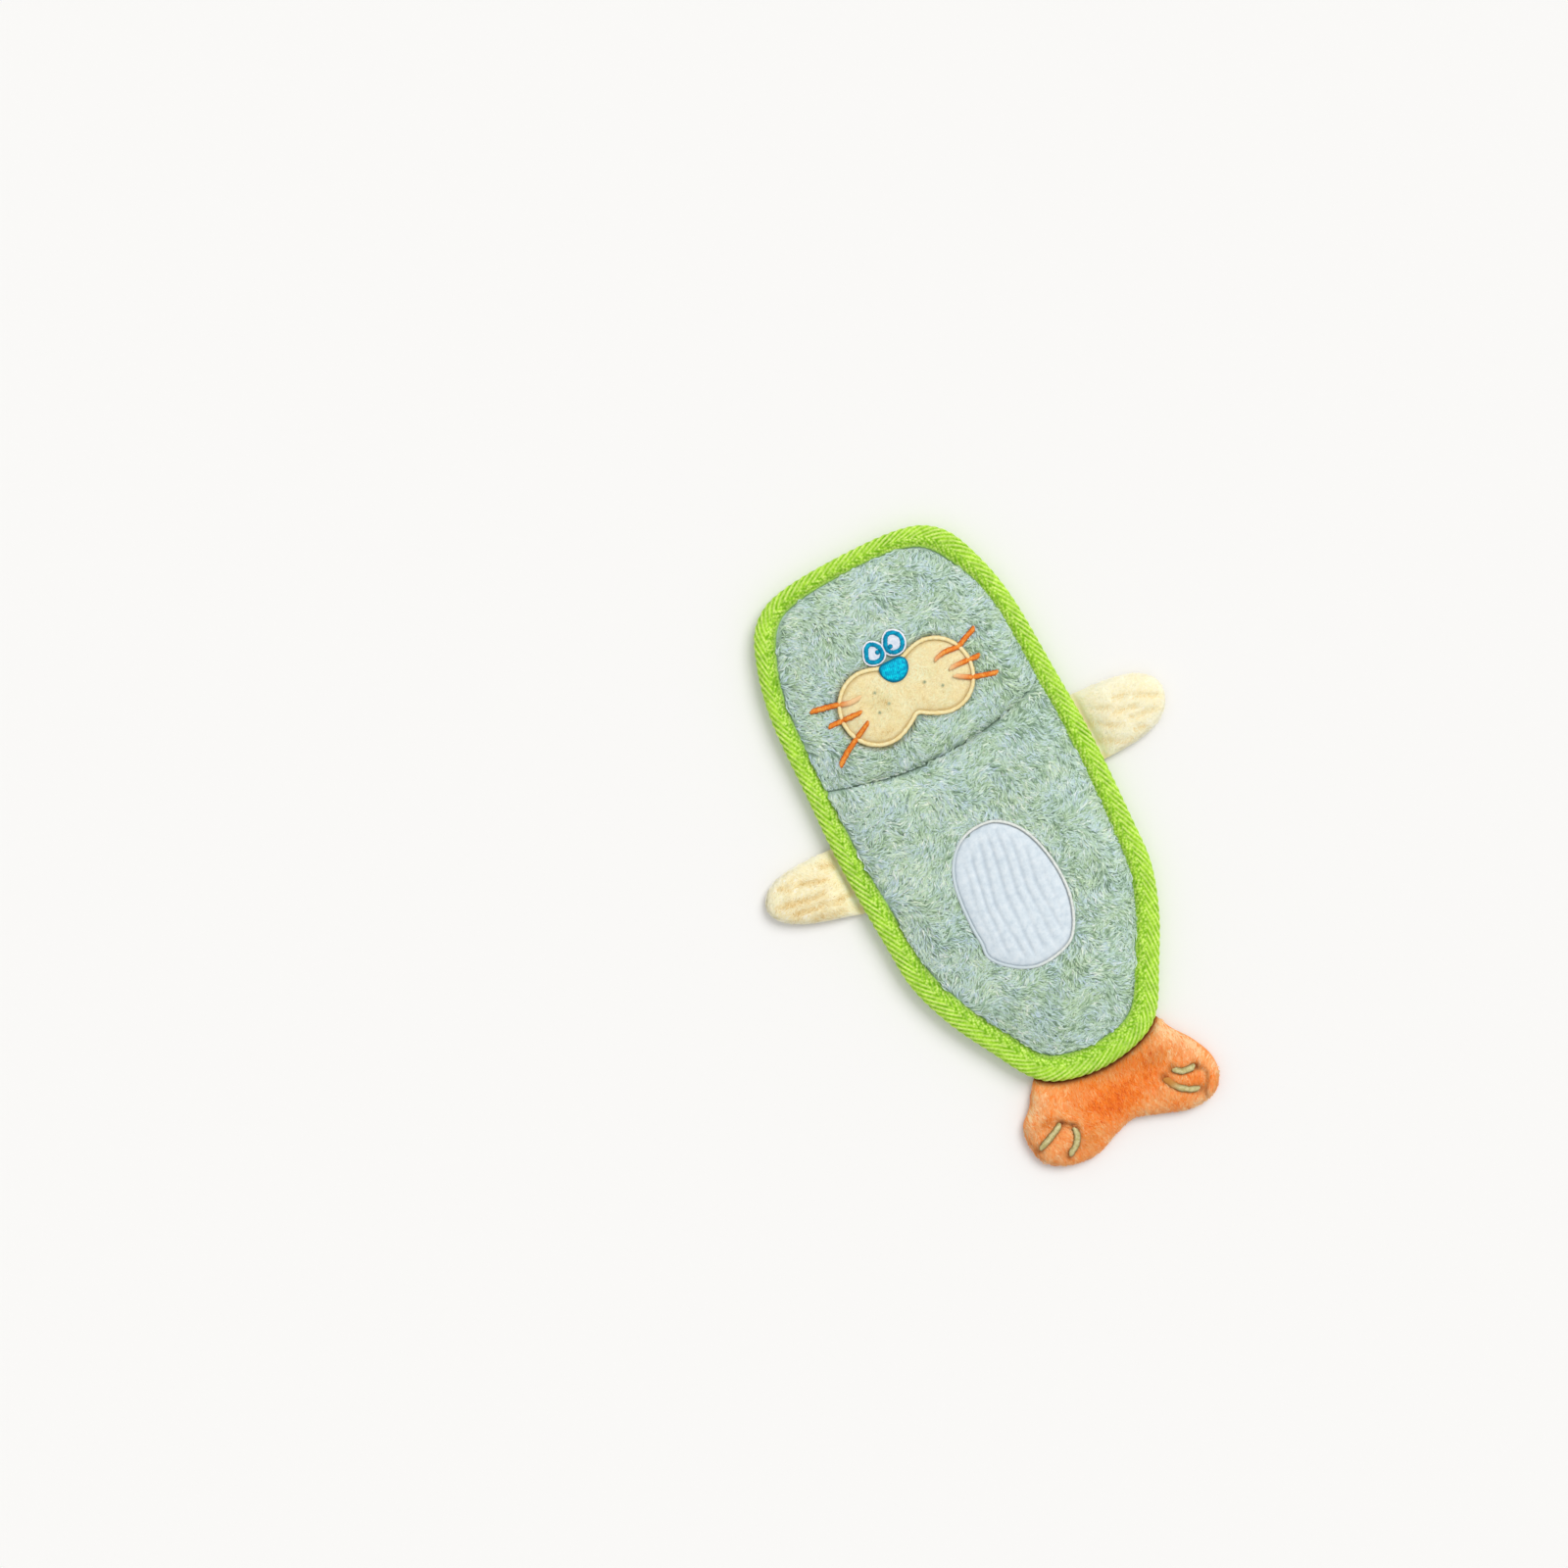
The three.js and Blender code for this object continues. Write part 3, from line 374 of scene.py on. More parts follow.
# How far inside a loop each point is, smoothed so that the middle has no ridge. Below 0 outside it.
def depthReader(loop, step, margin=4.0):
    low, high = loop.min(0) - margin, loop.max(0) + margin
    gridX, gridY = boxGrid(low, high + step, step)
    ahead = np.linalg.norm(np.roll(loop, -1, axis=0) - loop, axis=1)
    behind = np.roll(ahead, 1)
    weight = (ahead + behind) / 2
    pull = np.zeros(gridX.shape)
    nearest = np.full(gridX.shape, 1e9)
    for (px, py), w in zip(loop, weight):
        gap = (gridX - px) ** 2 + (gridY - py) ** 2
        nearest = np.minimum(nearest, gap)
        pull += w / np.maximum(gap, 0.04) ** 2
    depth = (math.pi / (2 * pull)) ** (1 / 3)
    close = np.sqrt(nearest)
    depth = np.where(close < 2 * step, close, depth)
    depth = np.where(insideLoop(loop, gridX, gridY), depth, -close)
    return fieldReader(depth, low, step)


# How a stuffed form rises from its rim: steep at first, then flat.
def puff(share, steepness=2.2, fullness=0.6):
    t = np.clip(share, 0, 1)
    return (1 - (1 - t) ** steepness) ** fullness


# The pad: its outline, and the surfaces of its covers

pad = {
    "width": 121,
    "top": 139,
    "foldY": 53,
    "bottom": -106,
    "edgeZ": 6,
    "headShares": [  # half outlines: share of the length, downwards, and of the half width
        (0, 0), (0.017, 0.446), (0.055, 0.63), (0.14, 0.769), (0.314, 0.876), (0.547, 0.95), (1, 0.983)],
    "bellyShares": [
        (0.195, 1), (0.447, 0.977), (0.57, 0.953), (0.698, 0.843), (0.824, 0.669), (0.937, 0.488),
        (0.977, 0.335), (1, 0)],
    "seamSag": 9.6,
    "seamHalf": 50.4,
    "tapeTop": 7.8,
    "tapeBottom": 11.4,
    "fullCorners": [((-43, 124), 1.5), ((41, 123), 2.9)],
    "cornerSpread": 17,
    "tuck": 3.0,  # how far the covers run in under the binding
    "headCloth": 12.5,  # highest backing of each cover
    "bellyCloth": 13.8,
    "coverEdge": 7.85,
    "reach": 40,  # how far from the binding the padding is fully swollen
    "clothThick": 0.8,
    "seamCloth": 7.5,
    "seamReach": 15,
    "unevenness": 0.7,
    "pileClimb": 0.8,  # how far the pile's ground climbs beside the binding
    "backEdge": 4.75,
    "backCloth": 1.25,
    "backReach": 15,
    "backSeam": (3.2, 0.4),  # its seam's reach, and how far that stays from the edge's height
    "headCorner": 0.4,  # where a layer's far corners are: the share of the way round to the fold
    "bellyCorner": 0.14,
}


def padPoints():
    half = pad["width"] / 2
    headLong, bellyLong = pad["top"] - pad["foldY"], pad["foldY"] - pad["bottom"]
    right = [(half * out, pad["top"] - down * headLong) for down, out in pad["headShares"]]
    right += [(half * out, pad["foldY"] - down * bellyLong) for down, out in pad["bellyShares"]]
    return right + [(-x, y) for x, y in right[-2:0:-1]]


rim = smoothLine(padPoints(), 1260)
rimStep = np.linalg.norm(rim[1] - rim[0])
rimLength = rimStep * len(rim)
rimAlong = (np.roll(rim, -1, axis=0) - np.roll(rim, 1, axis=0)) / (2 * rimStep)


# The binding's width, which grows downwards and is fuller where it turns the two upper corners.
def tapeWidth(x, y):
    share = (pad["top"] - np.asarray(y)) / (pad["top"] - pad["bottom"])
    width = pad["tapeTop"] + (pad["tapeBottom"] - pad["tapeTop"]) * share
    for (cx, cy), extra in pad["fullCorners"]:
        width = width + extra * bell(np.hypot(x - cx, y - cy), pad["cornerSpread"])
    return width


# Points on the pad's rim, drawn in by a depth.
def rimAt(s, depth=0):
    places = np.arange(-1, len(rim) + 1) * rimStep
    s = np.asarray(s) % rimLength
    ringed = [np.concatenate([row[-1:], row, row[:1]]) for row in (*rim.T, *rimAlong.T)]
    x, y, tx, ty = (np.interp(s, places, row) for row in ringed)
    return np.stack([x + ty * depth, y - tx * depth], -1)


def seamY(x):
    hang = np.clip(1 - (np.asarray(x) / pad["seamHalf"]) ** 2, 0, None)
    return pad["foldY"] - pad["seamSag"] * hang


padDepth = depthReader(rim[::2], 1.0, margin=44)


def clearOfTape(x, y):
    return padDepth(x, y) - tapeWidth(x, y)


def seamGap(x, y):
    slope = 2 * pad["seamSag"] * np.asarray(x) / pad["seamHalf"] ** 2
    return np.abs(y - seamY(x)) / np.sqrt(1 + slope * slope)


def frontCloth(x, y):
    clear = clearOfTape(x, y)
    crown = np.where(y > seamY(x), pad["headCloth"], pad["bellyCloth"])
    full = pad["coverEdge"] + (crown - pad["coverEdge"]) * puff(clear / pad["reach"])
    unevenness = softNoise(x, y, 17, 5) + 0.5 * softNoise(x, y, 8, 6) - 0.75
    full = full + pad["unevenness"] * unevenness * np.clip(clear / 12, 0, 1)
    return pad["seamCloth"] + (full - pad["seamCloth"]) * puff(seamGap(x, y) / pad["seamReach"], 2.4, 0.5)


def backCloth(x, y):
    clear = clearOfTape(x, y)
    full = pad["backEdge"] - (pad["backEdge"] - pad["backCloth"]) * puff(clear / pad["backReach"])
    reach, drop = pad["backSeam"]
    return full + (pad["backEdge"] - drop - full) * bell(seamGap(x, y), reach)


# The inner faces of the front and the back.
def underCloth(x, y):
    return frontCloth(x, y) - pad["clothThick"]


def overBack(x, y):
    return backCloth(x, y) + pad["clothThick"]


# The plan of a layer of the head or the belly, as a grid between the seam and the bound edge. It runs in
# under the binding by tuck, and stays clear of the seam by seamClear.
def layerPlan(half, across, along, tuck, seamClear=0.0):
    edge = lambda s: rimAt(s, tapeWidth(*rimAt(s).T) - tuck)
    fold = np.argmin(np.abs(rim[:len(rim) // 2, 1] - pad["foldY"])) * rimStep
    bottom = rimLength / 2
    isHead = half == "head"
    corner = pad["headCorner"] * fold if isHead else bottom - pad["bellyCorner"] * (bottom - fold)
    u, v = np.linspace(0, 1, across), np.linspace(0, 1, along)
    right = edge(fold + (corner - fold) * v)
    left = edge(-fold + (fold - corner) * v)
    far = edge(-corner + (2 * corner - (0 if isHead else rimLength)) * u)
    seamX = left[0, 0] + (right[0, 0] - left[0, 0]) * u
    near = np.stack([seamX, seamY(seamX) + (seamClear if isHead else -seamClear)], 1)
    left[0], right[0] = near[0], near[-1]
    uu, vv = u[None, :, None], v[:, None, None]
    plan = (1 - vv) * near[None] + vv * far[None] + (1 - uu) * left[:, None] + uu * right[:, None]
    nearEnds, farEnds = ((1 - uu) * side[0] + uu * side[-1] for side in (near, far))
    return plan - (1 - vv) * nearEnds - vv * farEnds


# A layer with a top and a bottom surface over one plan.
def layerPiece(name, plan, top, bottom, material):
    x, y = plan[..., 0], plan[..., 1]
    rows, columns = x.shape
    upper, lower = (np.stack([x, y, z], -1).reshape(-1, 3) for z in (top(x, y), bottom(x, y)))
    faces = gridFaces(rows, columns)
    index = np.arange(rows * columns).reshape(rows, columns)
    ring = np.concatenate([index[0, :-1], index[:-1, -1], index[-1, :0:-1], index[:0:-1, 0]])
    sides = np.stack([ring, np.roll(ring, -1), np.roll(ring, -1) + len(upper), ring + len(upper)], 1)
    return meshPiece(name, np.vstack([upper, lower]), [faces[:, ::-1], faces + len(upper), sides], material)


def makeCover(side, half):
    plan = layerPlan(half, 96, 76 if half == "head" else 130, pad["tuck"])
    if side == "front":
        top, bottom = frontCloth, underCloth
    else:
        top, bottom = overBack, backCloth
    piece = layerPiece(side + "_" + half + "_cover", plan, top, bottom, padCloth)
    assign(piece, [side + "_" + half + "_panel"], fold="head")


# Pile

# How single fibres differ from their tuft.
fibre = {
    "turn": 0.16,  # radians
    "ahead": 1.7,  # how much further roots are spread along the fibres than across
    "gather": 0.45,  # the share of its root's way to the side that a tip gives up
    "cut": 0.55,  # how far a tip is drawn back that would leave its ground
    "bend": 0.48,  # where the middle is, as a share of the way from root to tip
    "roll": 0.2,
    "rootIn": 0.15,  # mm under the ground
}


# Fibres in tufts: each is a thin blade of three triangles that leaves the backing and leans over. A short
# dense nap lets light through, so it casts no shadow.
def growPile(name, style, spots, base, fits, material, side=1, tipFits=None):
    chance = np.random.default_rng(style["seed"])
    each = style["perTuft"]
    x, y = spots.T
    swirl = softNoise(x, y, style["drift"], style["seed"] + 1) - 0.5
    heading = style["heading"] + style["swirl"] * 2 * swirl + chance.normal(0, style["scatter"], len(x))
    light = 0.3 * softNoise(x, y, style["patch"], style["seed"] + 2)
    light = light + 0.7 * softNoise(x, y, 1.7, style["seed"] + 3)
    tint = style["tint"](x, y) if "tint" in style else 0
    tuftTone = 0.5 + (light - 0.5) * style["contrast"] + tint + chance.normal(0, style["fleck"], len(x))
    many = lambda row: np.repeat(row, each)
    count = len(x) * each
    turn = many(heading) + chance.normal(0, fibre["turn"], count)
    along = np.stack([np.cos(turn), np.sin(turn)])
    across = np.stack([-along[1], along[0]])
    reach = style["reach"] * (0.65 + 0.6 * chance.random(count))
    sideways, ahead = (chance.normal(0, style["spread"] * more, count) for more in (1, fibre["ahead"]))
    root = np.stack([many(x), many(y)]) + along * ahead + across * sideways
    tip = root + along * reach - across * sideways * fibre["gather"]
    tipFits = tipFits or fits
    for _ in range(4):
        tip = np.where(tipFits(*tip), tip, root + (tip - root) * fibre["cut"])
    keep = fits(*root) & tipFits(*tip)
    root, tip, across = root[:, keep], tip[:, keep], across[:, keep]
    count = root.shape[1]
    lift = side * style["lift"] * (0.45 + 0.75 * chance.random(count))
    curl = chance.normal(0, style["curl"], count) * np.hypot(*(tip - root))
    middle = root + (tip - root) * fibre["bend"] + across * curl
    roll = chance.normal(0, fibre["roll"], count)
    wide = style["width"] * (0.7 + 0.6 * chance.random(count)) / 2
    out = np.stack([*(across * wide * np.cos(roll)), wide * np.sin(roll)], 1)
    root, middle, tip = (np.stack([*spot, base(*spot) + rise], 1) for spot, rise in (
        (root, -side * fibre["rootIn"]), (middle, lift * 0.8), (tip, lift)))
    points = np.stack([root - out * 0.8, root + out * 0.8, middle - out, middle + out, tip], 1).reshape(-1, 3)
    start = (np.arange(count) * 5)[:, None, None]
    blade = np.array([[0, 3, 1], [0, 2, 3], [2, 4, 3]])
    faces = (start + (blade if side > 0 else blade[:, ::-1])).reshape(-1, 3)
    tone = np.repeat(np.clip(many(tuftTone)[keep] + chance.normal(0, style["strand"], count), 0, 1), 5)
    tips = np.tile([style["rootShade"], style["rootShade"], 0.9, 0.9, 1.0], count)
    values = {"tone": tone, "tip": tips}
    if "shade" in style:
        values["shade"] = np.clip(style["shade"](*points[:, :2].T), 0, 1)
    piece = meshPiece(name, points, [faces], material, values)
    piece.visible_shadow = style.get("shadow", True)
    shadeLikeSurface(piece, base, points, side)
    return piece


# Lets the fibres take the light as the surface under them does, so that they don't darken it.
def shadeLikeSurface(piece, base, points, side):
    x, y = points[:, 0], points[:, 1]
    step = 0.8
    slopeX = (base(x + step, y) - base(x - step, y)) / (2 * step)
    slopeY = (base(x, y + step) - base(x, y - step)) / (2 * step)
    lean = np.random.default_rng(5).normal(0, 0.16, (len(points) // 5, 2)).repeat(5, axis=0)
    up = np.full(len(x), float(side))
    normals = np.stack([-slopeX * side + lean[:, 0], -slopeY * side + lean[:, 1], up], 1)
    normals /= np.linalg.norm(normals, axis=1)[:, None]
    piece.data.normals_split_custom_set_from_vertices(normals.tolist())


# Tuft places: a jittered grid over a box, kept where the fibres may grow.
def tuftSpots(low, high, gap, fits, seed):
    chance = np.random.default_rng(seed)
    x, y = (row.ravel() for row in boxGrid(low, high, gap))
    x, y = x + chance.uniform(-0.6, 0.6, len(x)) * gap, y + chance.uniform(-0.6, 0.6, len(y)) * gap
    keep = fits(x, y)
    return np.stack([x[keep], y[keep]], 1)


# Satin stitching

# Rows of stitches that rise over the cloth they are seated on, each with one point under its middle. Under
# there no thread shows and all is edge.
def stitches(name, style, seat, plan, rise, middle, values, material, joined=False):
    under = {"thread": 0, "edge": 1, "thin": 0}
    lift = style.get("lift", 0)
    z = np.hstack([seat(*plan) + lift + rise, seat(*middle) + lift - 0.25])
    rings = np.dstack([*(np.hstack(pair) for pair in zip(plan, middle)), z])
    one, rest = np.ones_like(middle[0]), np.ones_like(plan[0])
    values = {key: np.hstack([value * rest, under[key] * one]) for key, value in values.items()}
    return skinned(name, rings, material, values, joined)


# A cord of satin stitches along a path: threads cross it side by side, each a small ridge.
def satinCord(name, path, style, seat, material, closed=False):
    width, height, pitch = style["width"], style["height"], style["pitch"]
    along = lengths(path)
    total = along[-1] + (np.linalg.norm(path[0] - path[-1]) if closed else 0)
    threads = max(3, round(total / pitch))
    rows = threads * 5
    if closed:
        path, along = np.vstack([path, path[:1]]), np.append(along, total)
    s = np.arange(rows) / rows * total if closed else np.linspace(0, total, rows + 1)
    within = lambda place: place % total if closed else np.clip(place, 0, total)
    spot = lambda place: np.stack([np.interp(within(place), along, path[:, k]) for k in (0, 1)])
    across = arcPlaces(11)
    place = within(s[:, None] + style.get("slant", 0.5) * width / 2 * across)
    x, y = spot(place)
    step = 0.2
    dx, dy = spot(place + step) - spot(place - step)
    size = np.maximum(np.hypot(dx, dy), 1e-6)
    dx, dy = dx / size, dy / size
    ridge = np.abs(np.sin(math.pi * threads * s / total))[:, None] ** 0.7
    chance = np.random.default_rng(style.get("seed", 3))
    knots = np.linspace(0, total, threads + 1)
    uneven = 1 + 0.07 * np.interp(s, knots, chance.normal(0, 1, threads + 1))[:, None]
    ends = np.ones_like(s)[:, None]
    if not closed:
        fromEnd = np.clip(np.minimum(s, total - s) / (width * 0.55), 0, 1)
        ends = np.sqrt(np.clip(1 - (1 - fromEnd) ** 2, 0.02, 1))[:, None]
    taper = style.get("taper", lambda share: np.ones_like(share))(s / total)[:, None]
    half = width / 2 * ends * taper * uneven * (0.96 + 0.04 * ridge)
    px, py = x - dy * across * half, y + dx * across * half
    arch = np.sqrt(np.clip(1 - across ** 2, 0, 1)) ** 0.8
    rise = height * arch * np.sqrt(ends * taper) * (0.84 + 0.16 * ridge)
    # The edge attribute: where the painted shade of the cord's rounded sides goes.
    edge = np.abs(across)[None] ** style.get("edgeFade", 4)
    thin = style["thinned"](s / total)[:, None] if "thinned" in style else 0
    middle = x[:, 5:6], y[:, 5:6]
    values = {"thread": ridge, "edge": edge, "thin": thin}
    return stitches(name, style, seat, (px, py), rise, middle, values, material, closed)


# A shape filled with satin stitches that run from edge to edge.
def satinFill(name, loop, style, seat, material):
    heading = math.radians(style["heading"])
    turn = np.array([[math.cos(heading), math.sin(heading)], [-math.sin(heading), math.cos(heading)]])
    flat = loop @ turn.T
    low, high = flat[:, 0].min(), flat[:, 0].max()
    threads = round((high - low) / style["pitch"])
    rows = threads * 5
    s = np.linspace(0.004, 0.996, rows)
    u = low + (high - low) * s
    spans = []
    here, there = flat, np.roll(flat, -1, axis=0)
    for place in u:
        cut = (here[:, 0] > place) != (there[:, 0] > place)
        a, b = here[cut], there[cut]
        v = a[:, 1] + (b[:, 1] - a[:, 1]) * (place - a[:, 0]) / (b[:, 0] - a[:, 0])
        spans.append((v.min(), v.max()))
    spans = np.array(spans)
    across = arcPlaces(17)
    middle, half = spans.mean(1)[:, None], (spans[:, 1] - spans[:, 0])[:, None] / 2
    ridge = np.abs(np.sin(math.pi * threads * s))[:, None] ** 0.7
    v = middle + half * across * (0.98 + 0.02 * ridge)
    uu = u[:, None] * np.ones_like(v)
    ends = np.clip(1 - (2 * s - 1) ** 2, 0.002, 1)[:, None]
    dome = (np.clip(1 - across ** 2, 0, 1) ** 0.4) * ends ** 0.32
    px, py = (np.stack([uu, v], -1) @ turn).transpose(2, 0, 1)
    middle = (np.stack([u[:, None], middle], -1) @ turn).transpose(2, 0, 1)
    rimGap = np.minimum((1 - np.abs(across)) * half, np.minimum(s, 1 - s)[:, None] * (high - low))
    # The edge attribute is a band at the rim: painted shade on the nose and pupils, paler on the eye grounds
    # and dots.
    edge = style.get("rim", 0.3)
    values = {"thread": ridge, "edge": smoothStep(edge * 1.4, edge * 0.4, rimGap)}
    rise = style["height"] * dome * (0.87 + 0.13 * ridge)
    return stitches(name, style, seat, (px, py), rise, middle, values, material)


# Face

face = {
    "muzzleMiddle": (-1.1, 74.76),
    "muzzleWidth": 62.5,
    "lobe": (14.9, 15.9),
    "lobeAt": 14.75,
    "saddle": 12.4,
    "notch": 10.0,
    "muzzleRise": 1.5,
    "muzzleReach": 7,  # how far from its border the muzzle is fully swollen
    "muzzleLift": 0.15,
    "seat": 0.35,  # how far over the cloth the stitches lie that have none of the muzzle under them
    "groundGrow": 1.65,  # how far an eye's pale ground shows round its ring
    "pupil": 1.05,
    "dot": 1.0,
    "nose": [(-5.9, 89.5), (-1, 89.8), (3.2, 89.3), (5.0, 87.5), (5.1, 85.2), (4.0, 82.6), (1.6, 80.5),
             (-1.4, 79.8), (-4.4, 80.7), (-6.7, 83.2), (-7.6, 86.2), (-7.2, 88.4)],
    "leftEye": [(-5.7, 99.5), (-3.7, 98.2), (-2.55, 95.6), (-3.0, 93.1), (-5.0, 91.7), (-7.8, 92.1),
                (-9.5, 93.8), (-8.8, 96.6), (-7.5, 98.8)],
    "rightEye": [(3.6, 100.0), (5.8, 99.2), (7.3, 97.0), (7.2, 94.4), (5.6, 92.1), (3.0, 91.6), (0.6, 92.8),
                 (-0.1, 95.0), (0.8, 97.6), (2.0, 99.3)],
    "leftPupil": (-4.3, 95.1),
    "rightPupil": (1.7, 94.8),
    "whiskers": {
        "left_upper_whisker": [(-0.646, 0.18), (-0.464, 0.137), (-0.382, 0.11), (-0.287, 0.108)],
        "left_middle_whisker": [(-0.584, 0.031), (-0.328, 0.015)],
        "left_lower_whisker": [(-0.638, -0.246), (-0.558, -0.188), (-0.462, -0.135), (-0.318, -0.063)],
        "right_upper_whisker": [(0.616, 0.17), (0.514, 0.132), (0.456, 0.108), (0.346, 0.116), (0.262, 0.098)],
        "right_middle_whisker": [(0.56, -0.015), (0.422, -0.002), (0.325, 0.002)],
        "right_lower_whisker": [(0.616, -0.175), (0.506, -0.142), (0.43, -0.116), (0.33, -0.052)],
    },
    "thinned": {  # from where to where along a whisker its stitches thin out
        "left_upper_whisker": (0.5, 0.85),
        "right_upper_whisker": (0.7, 1.2),
        "right_middle_whisker": (0.5, 1.1),
        "right_lower_whisker": (0.55, 1.1),
    },
    "dots": {
        "left_upper_dot": (-0.194, 0.09),
        "left_lower_dot": (-0.227, -0.044),
        "left_inner_dot": (-0.142, -0.018),
        "right_inner_dot": (0.139, -0.001),
        "right_lower_dot": (0.238, -0.078),
    },
    "toneSpots": [  # soft spots where the nap is darker, or paler above 0; the dark ones just above the lower border are painted shade
        (-15, 74, 4, 3, -0.2), (-10.2, 74, 1.5, 2.4, -0.42), (-11.4, 77, 1.6, 1.8, -0.22),
        (-13.2, 80.6, 1.4, 1.6, -0.5), (-16, 77, 5, 1.6, -0.25), (-16, 63, 5, 1.8, -0.35), (-8, 65, 4, 2, -0.2),
        (14, 62, 8, 2.5, -0.14), (-22, 77, 3, 6, -0.06), (6, 84, 8, 5, 0.1), (-8, 86, 6, 3, 0.08),
        (-12, 84, 5, 3, 0.08),
    ],
}


def fromMuzzle(share):
    return tuple(m + s * face["muzzleWidth"] for m, s in zip(face["muzzleMiddle"], share))


def muzzleLoop(grow=0.0):
    (wide, tall), at = face["lobe"], face["lobeAt"]
    angles = np.radians(np.linspace(104, -112, 15))
    right = [(at + (wide + grow) * math.cos(a), (tall + grow) * math.sin(a)) for a in angles]
    left = [(-x, y) for x, y in reversed(right)]
    dip = face["notch"] + grow
    points = right + [(4.2, -dip - 2.3), (0, -dip), (-4.2, -dip - 2.3)] + left + [(0, face["saddle"] + grow)]
    return smoothLine(points, 420) + face["muzzleMiddle"]


def spread(loop, grow):
    ahead = np.roll(loop, -1, axis=0) - np.roll(loop, 1, axis=0)
    ahead /= np.linalg.norm(ahead, axis=1)[:, None]
    return loop + np.stack([-ahead[:, 1], ahead[:, 0]], 1) * grow


def circleLoop(middle, radius, count=24):
    angle = np.linspace(0, -2 * math.pi, count + 1)[:-1]
    return np.stack([middle[0] + radius * np.cos(angle), middle[1] + radius * np.sin(angle)], 1)


# A closed form from a loop: a top and a bottom surface that meet at its rim.
def pillow(name, loop, middle, shares, top, bottom, material, shade=None):
    shares = np.asarray(shares)[:, None, None]
    plan = np.asarray(middle) + (loop[None] - middle) * shares
    upper = np.dstack([plan, top(plan[..., 0], plan[..., 1])])
    lower = np.dstack([plan, bottom(plan[..., 0], plan[..., 1])])[-2::-1]
    rings = np.concatenate([upper, lower])
    rows, columns = rings.shape[:2]
    poles = [(*middle, float(height(*np.array(middle, float)))) for height in (top, bottom)]
    points = np.vstack([rings.reshape(-1, 3), poles])
    first, last = np.arange(columns), np.arange(columns) + (rows - 1) * columns
    topFan = np.stack([np.full(columns, rows * columns), first, np.roll(first, -1)], 1)
    lowFan = np.stack([np.full(columns, rows * columns + 1), np.roll(last, -1), last], 1)
    above = np.arange(len(points)) < len(shares) * columns
    values = {"shade": np.where(above, np.clip(shade(*points[:, :2].T), 0, 1), 0)} if shade else None
    faces = [gridFaces(rows, columns, around=True)[:, ::-1], topFan, lowFan]
    return meshPiece(name, points, faces, material, values)


# Shares of the way from a pillow's middle to its rim, closer together where it rounds over.
rimShares = [0.012, 0.08, 0.16, 0.24, 0.32, 0.4, 0.48, 0.56, 0.64, 0.71, 0.77, 0.82, 0.86, 0.895, 0.92, 0.94,
             0.957, 0.971, 0.982, 0.991, 1.0]

muzzleRim = muzzleLoop()
muzzleDepth = depthReader(muzzleRim[::2], 0.5)


def muzzleTop(x, y):
    depth = muzzleDepth(x, y)
    swell = face["muzzleRise"] * puff(depth / face["muzzleReach"], 2.2, 0.5)
    uneven = (softNoise(x, y, 5, 31) - 0.5) * 0.35 * np.clip(depth / 3, 0, 1)
    return frontCloth(x, y) + face["muzzleLift"] + swell + uneven


def onFace(x, y):
    return np.where(muzzleDepth(x, y) > 0.5, muzzleTop(x, y), frontCloth(x, y) + face["seat"])


# Patch on the belly

patch = {
    "middle": (-1.1, -22.5),
    "outline": [
        (-1, 9.8), (5, 9), (10, 6), (14, 1.6), (17, -4), (19, -10.5), (20.3, -18), (20.7, -26), (20.1, -33),
        (18.2, -40), (15.3, -46), (11.6, -50.5), (6.5, -52.8), (0, -54), (-6, -53.8), (-12, -51.6), (-17, -48),
        (-20.4, -44.6), (-22.7, -40.6), (-22.3, -35), (-22.6, -29), (-22.5, -22), (-22, -15), (-21, -8.5),
        (-19, -2.5), (-15.5, 3), (-11, 7), (-6, 9.2)],
    "ribPitch": 4.7,
    "ribDepth": 0.55,
    "ribShade": 0.28,
    "rise": 1.6,
    "reach": 9,
    "hem": 0.7,  # the width at the rim that is sewn flat
    "lift": 0.2,
}


def patchLoop(grow=0.0):
    return spread(smoothLine(patch["outline"], 400), grow)


patchRim = patchLoop()
patchDepth = depthReader(patchRim[::2], 1.0)


# How deep each point of the patch lies between two ribs, from 0 to 1.
def patchGroove(x, y):
    lean = x - 0.2 * np.clip(y - patch["middle"][1], 0, None)
    wander = (softNoise(x, y / 3, 6, 41) - 0.5) * 1.8
    wave = 0.5 + 0.5 * np.cos(2 * math.pi * (lean + wander) / patch["ribPitch"])
    fade = smoothStep(1.5, 8, patchDepth(x, y)) * (0.55 + 0.55 * softNoise(x, y, 14, 42))
    return wave ** 2 * fade * (1 - 0.5 * smoothStep(9, 17, x))


def patchTop(x, y):
    swell = patch["rise"] * puff((patchDepth(x, y) - patch["hem"]) / patch["reach"], 2.2, 0.5)
    return frontCloth(x, y) + patch["lift"] + swell - patch["ribDepth"] * patchGroove(x, y)


# Limbs

limb = {
    "rootZ": 2.35,
    "tabHalf": 0.55,
    "frontRise": 4.4,
    "backFall": 1.3,
    "ramp": 13,
    "tuck": 7.0,  # how far the tab runs in under the binding
    "lift": 0.4,  # how far a limb's middle lies over its tab
}

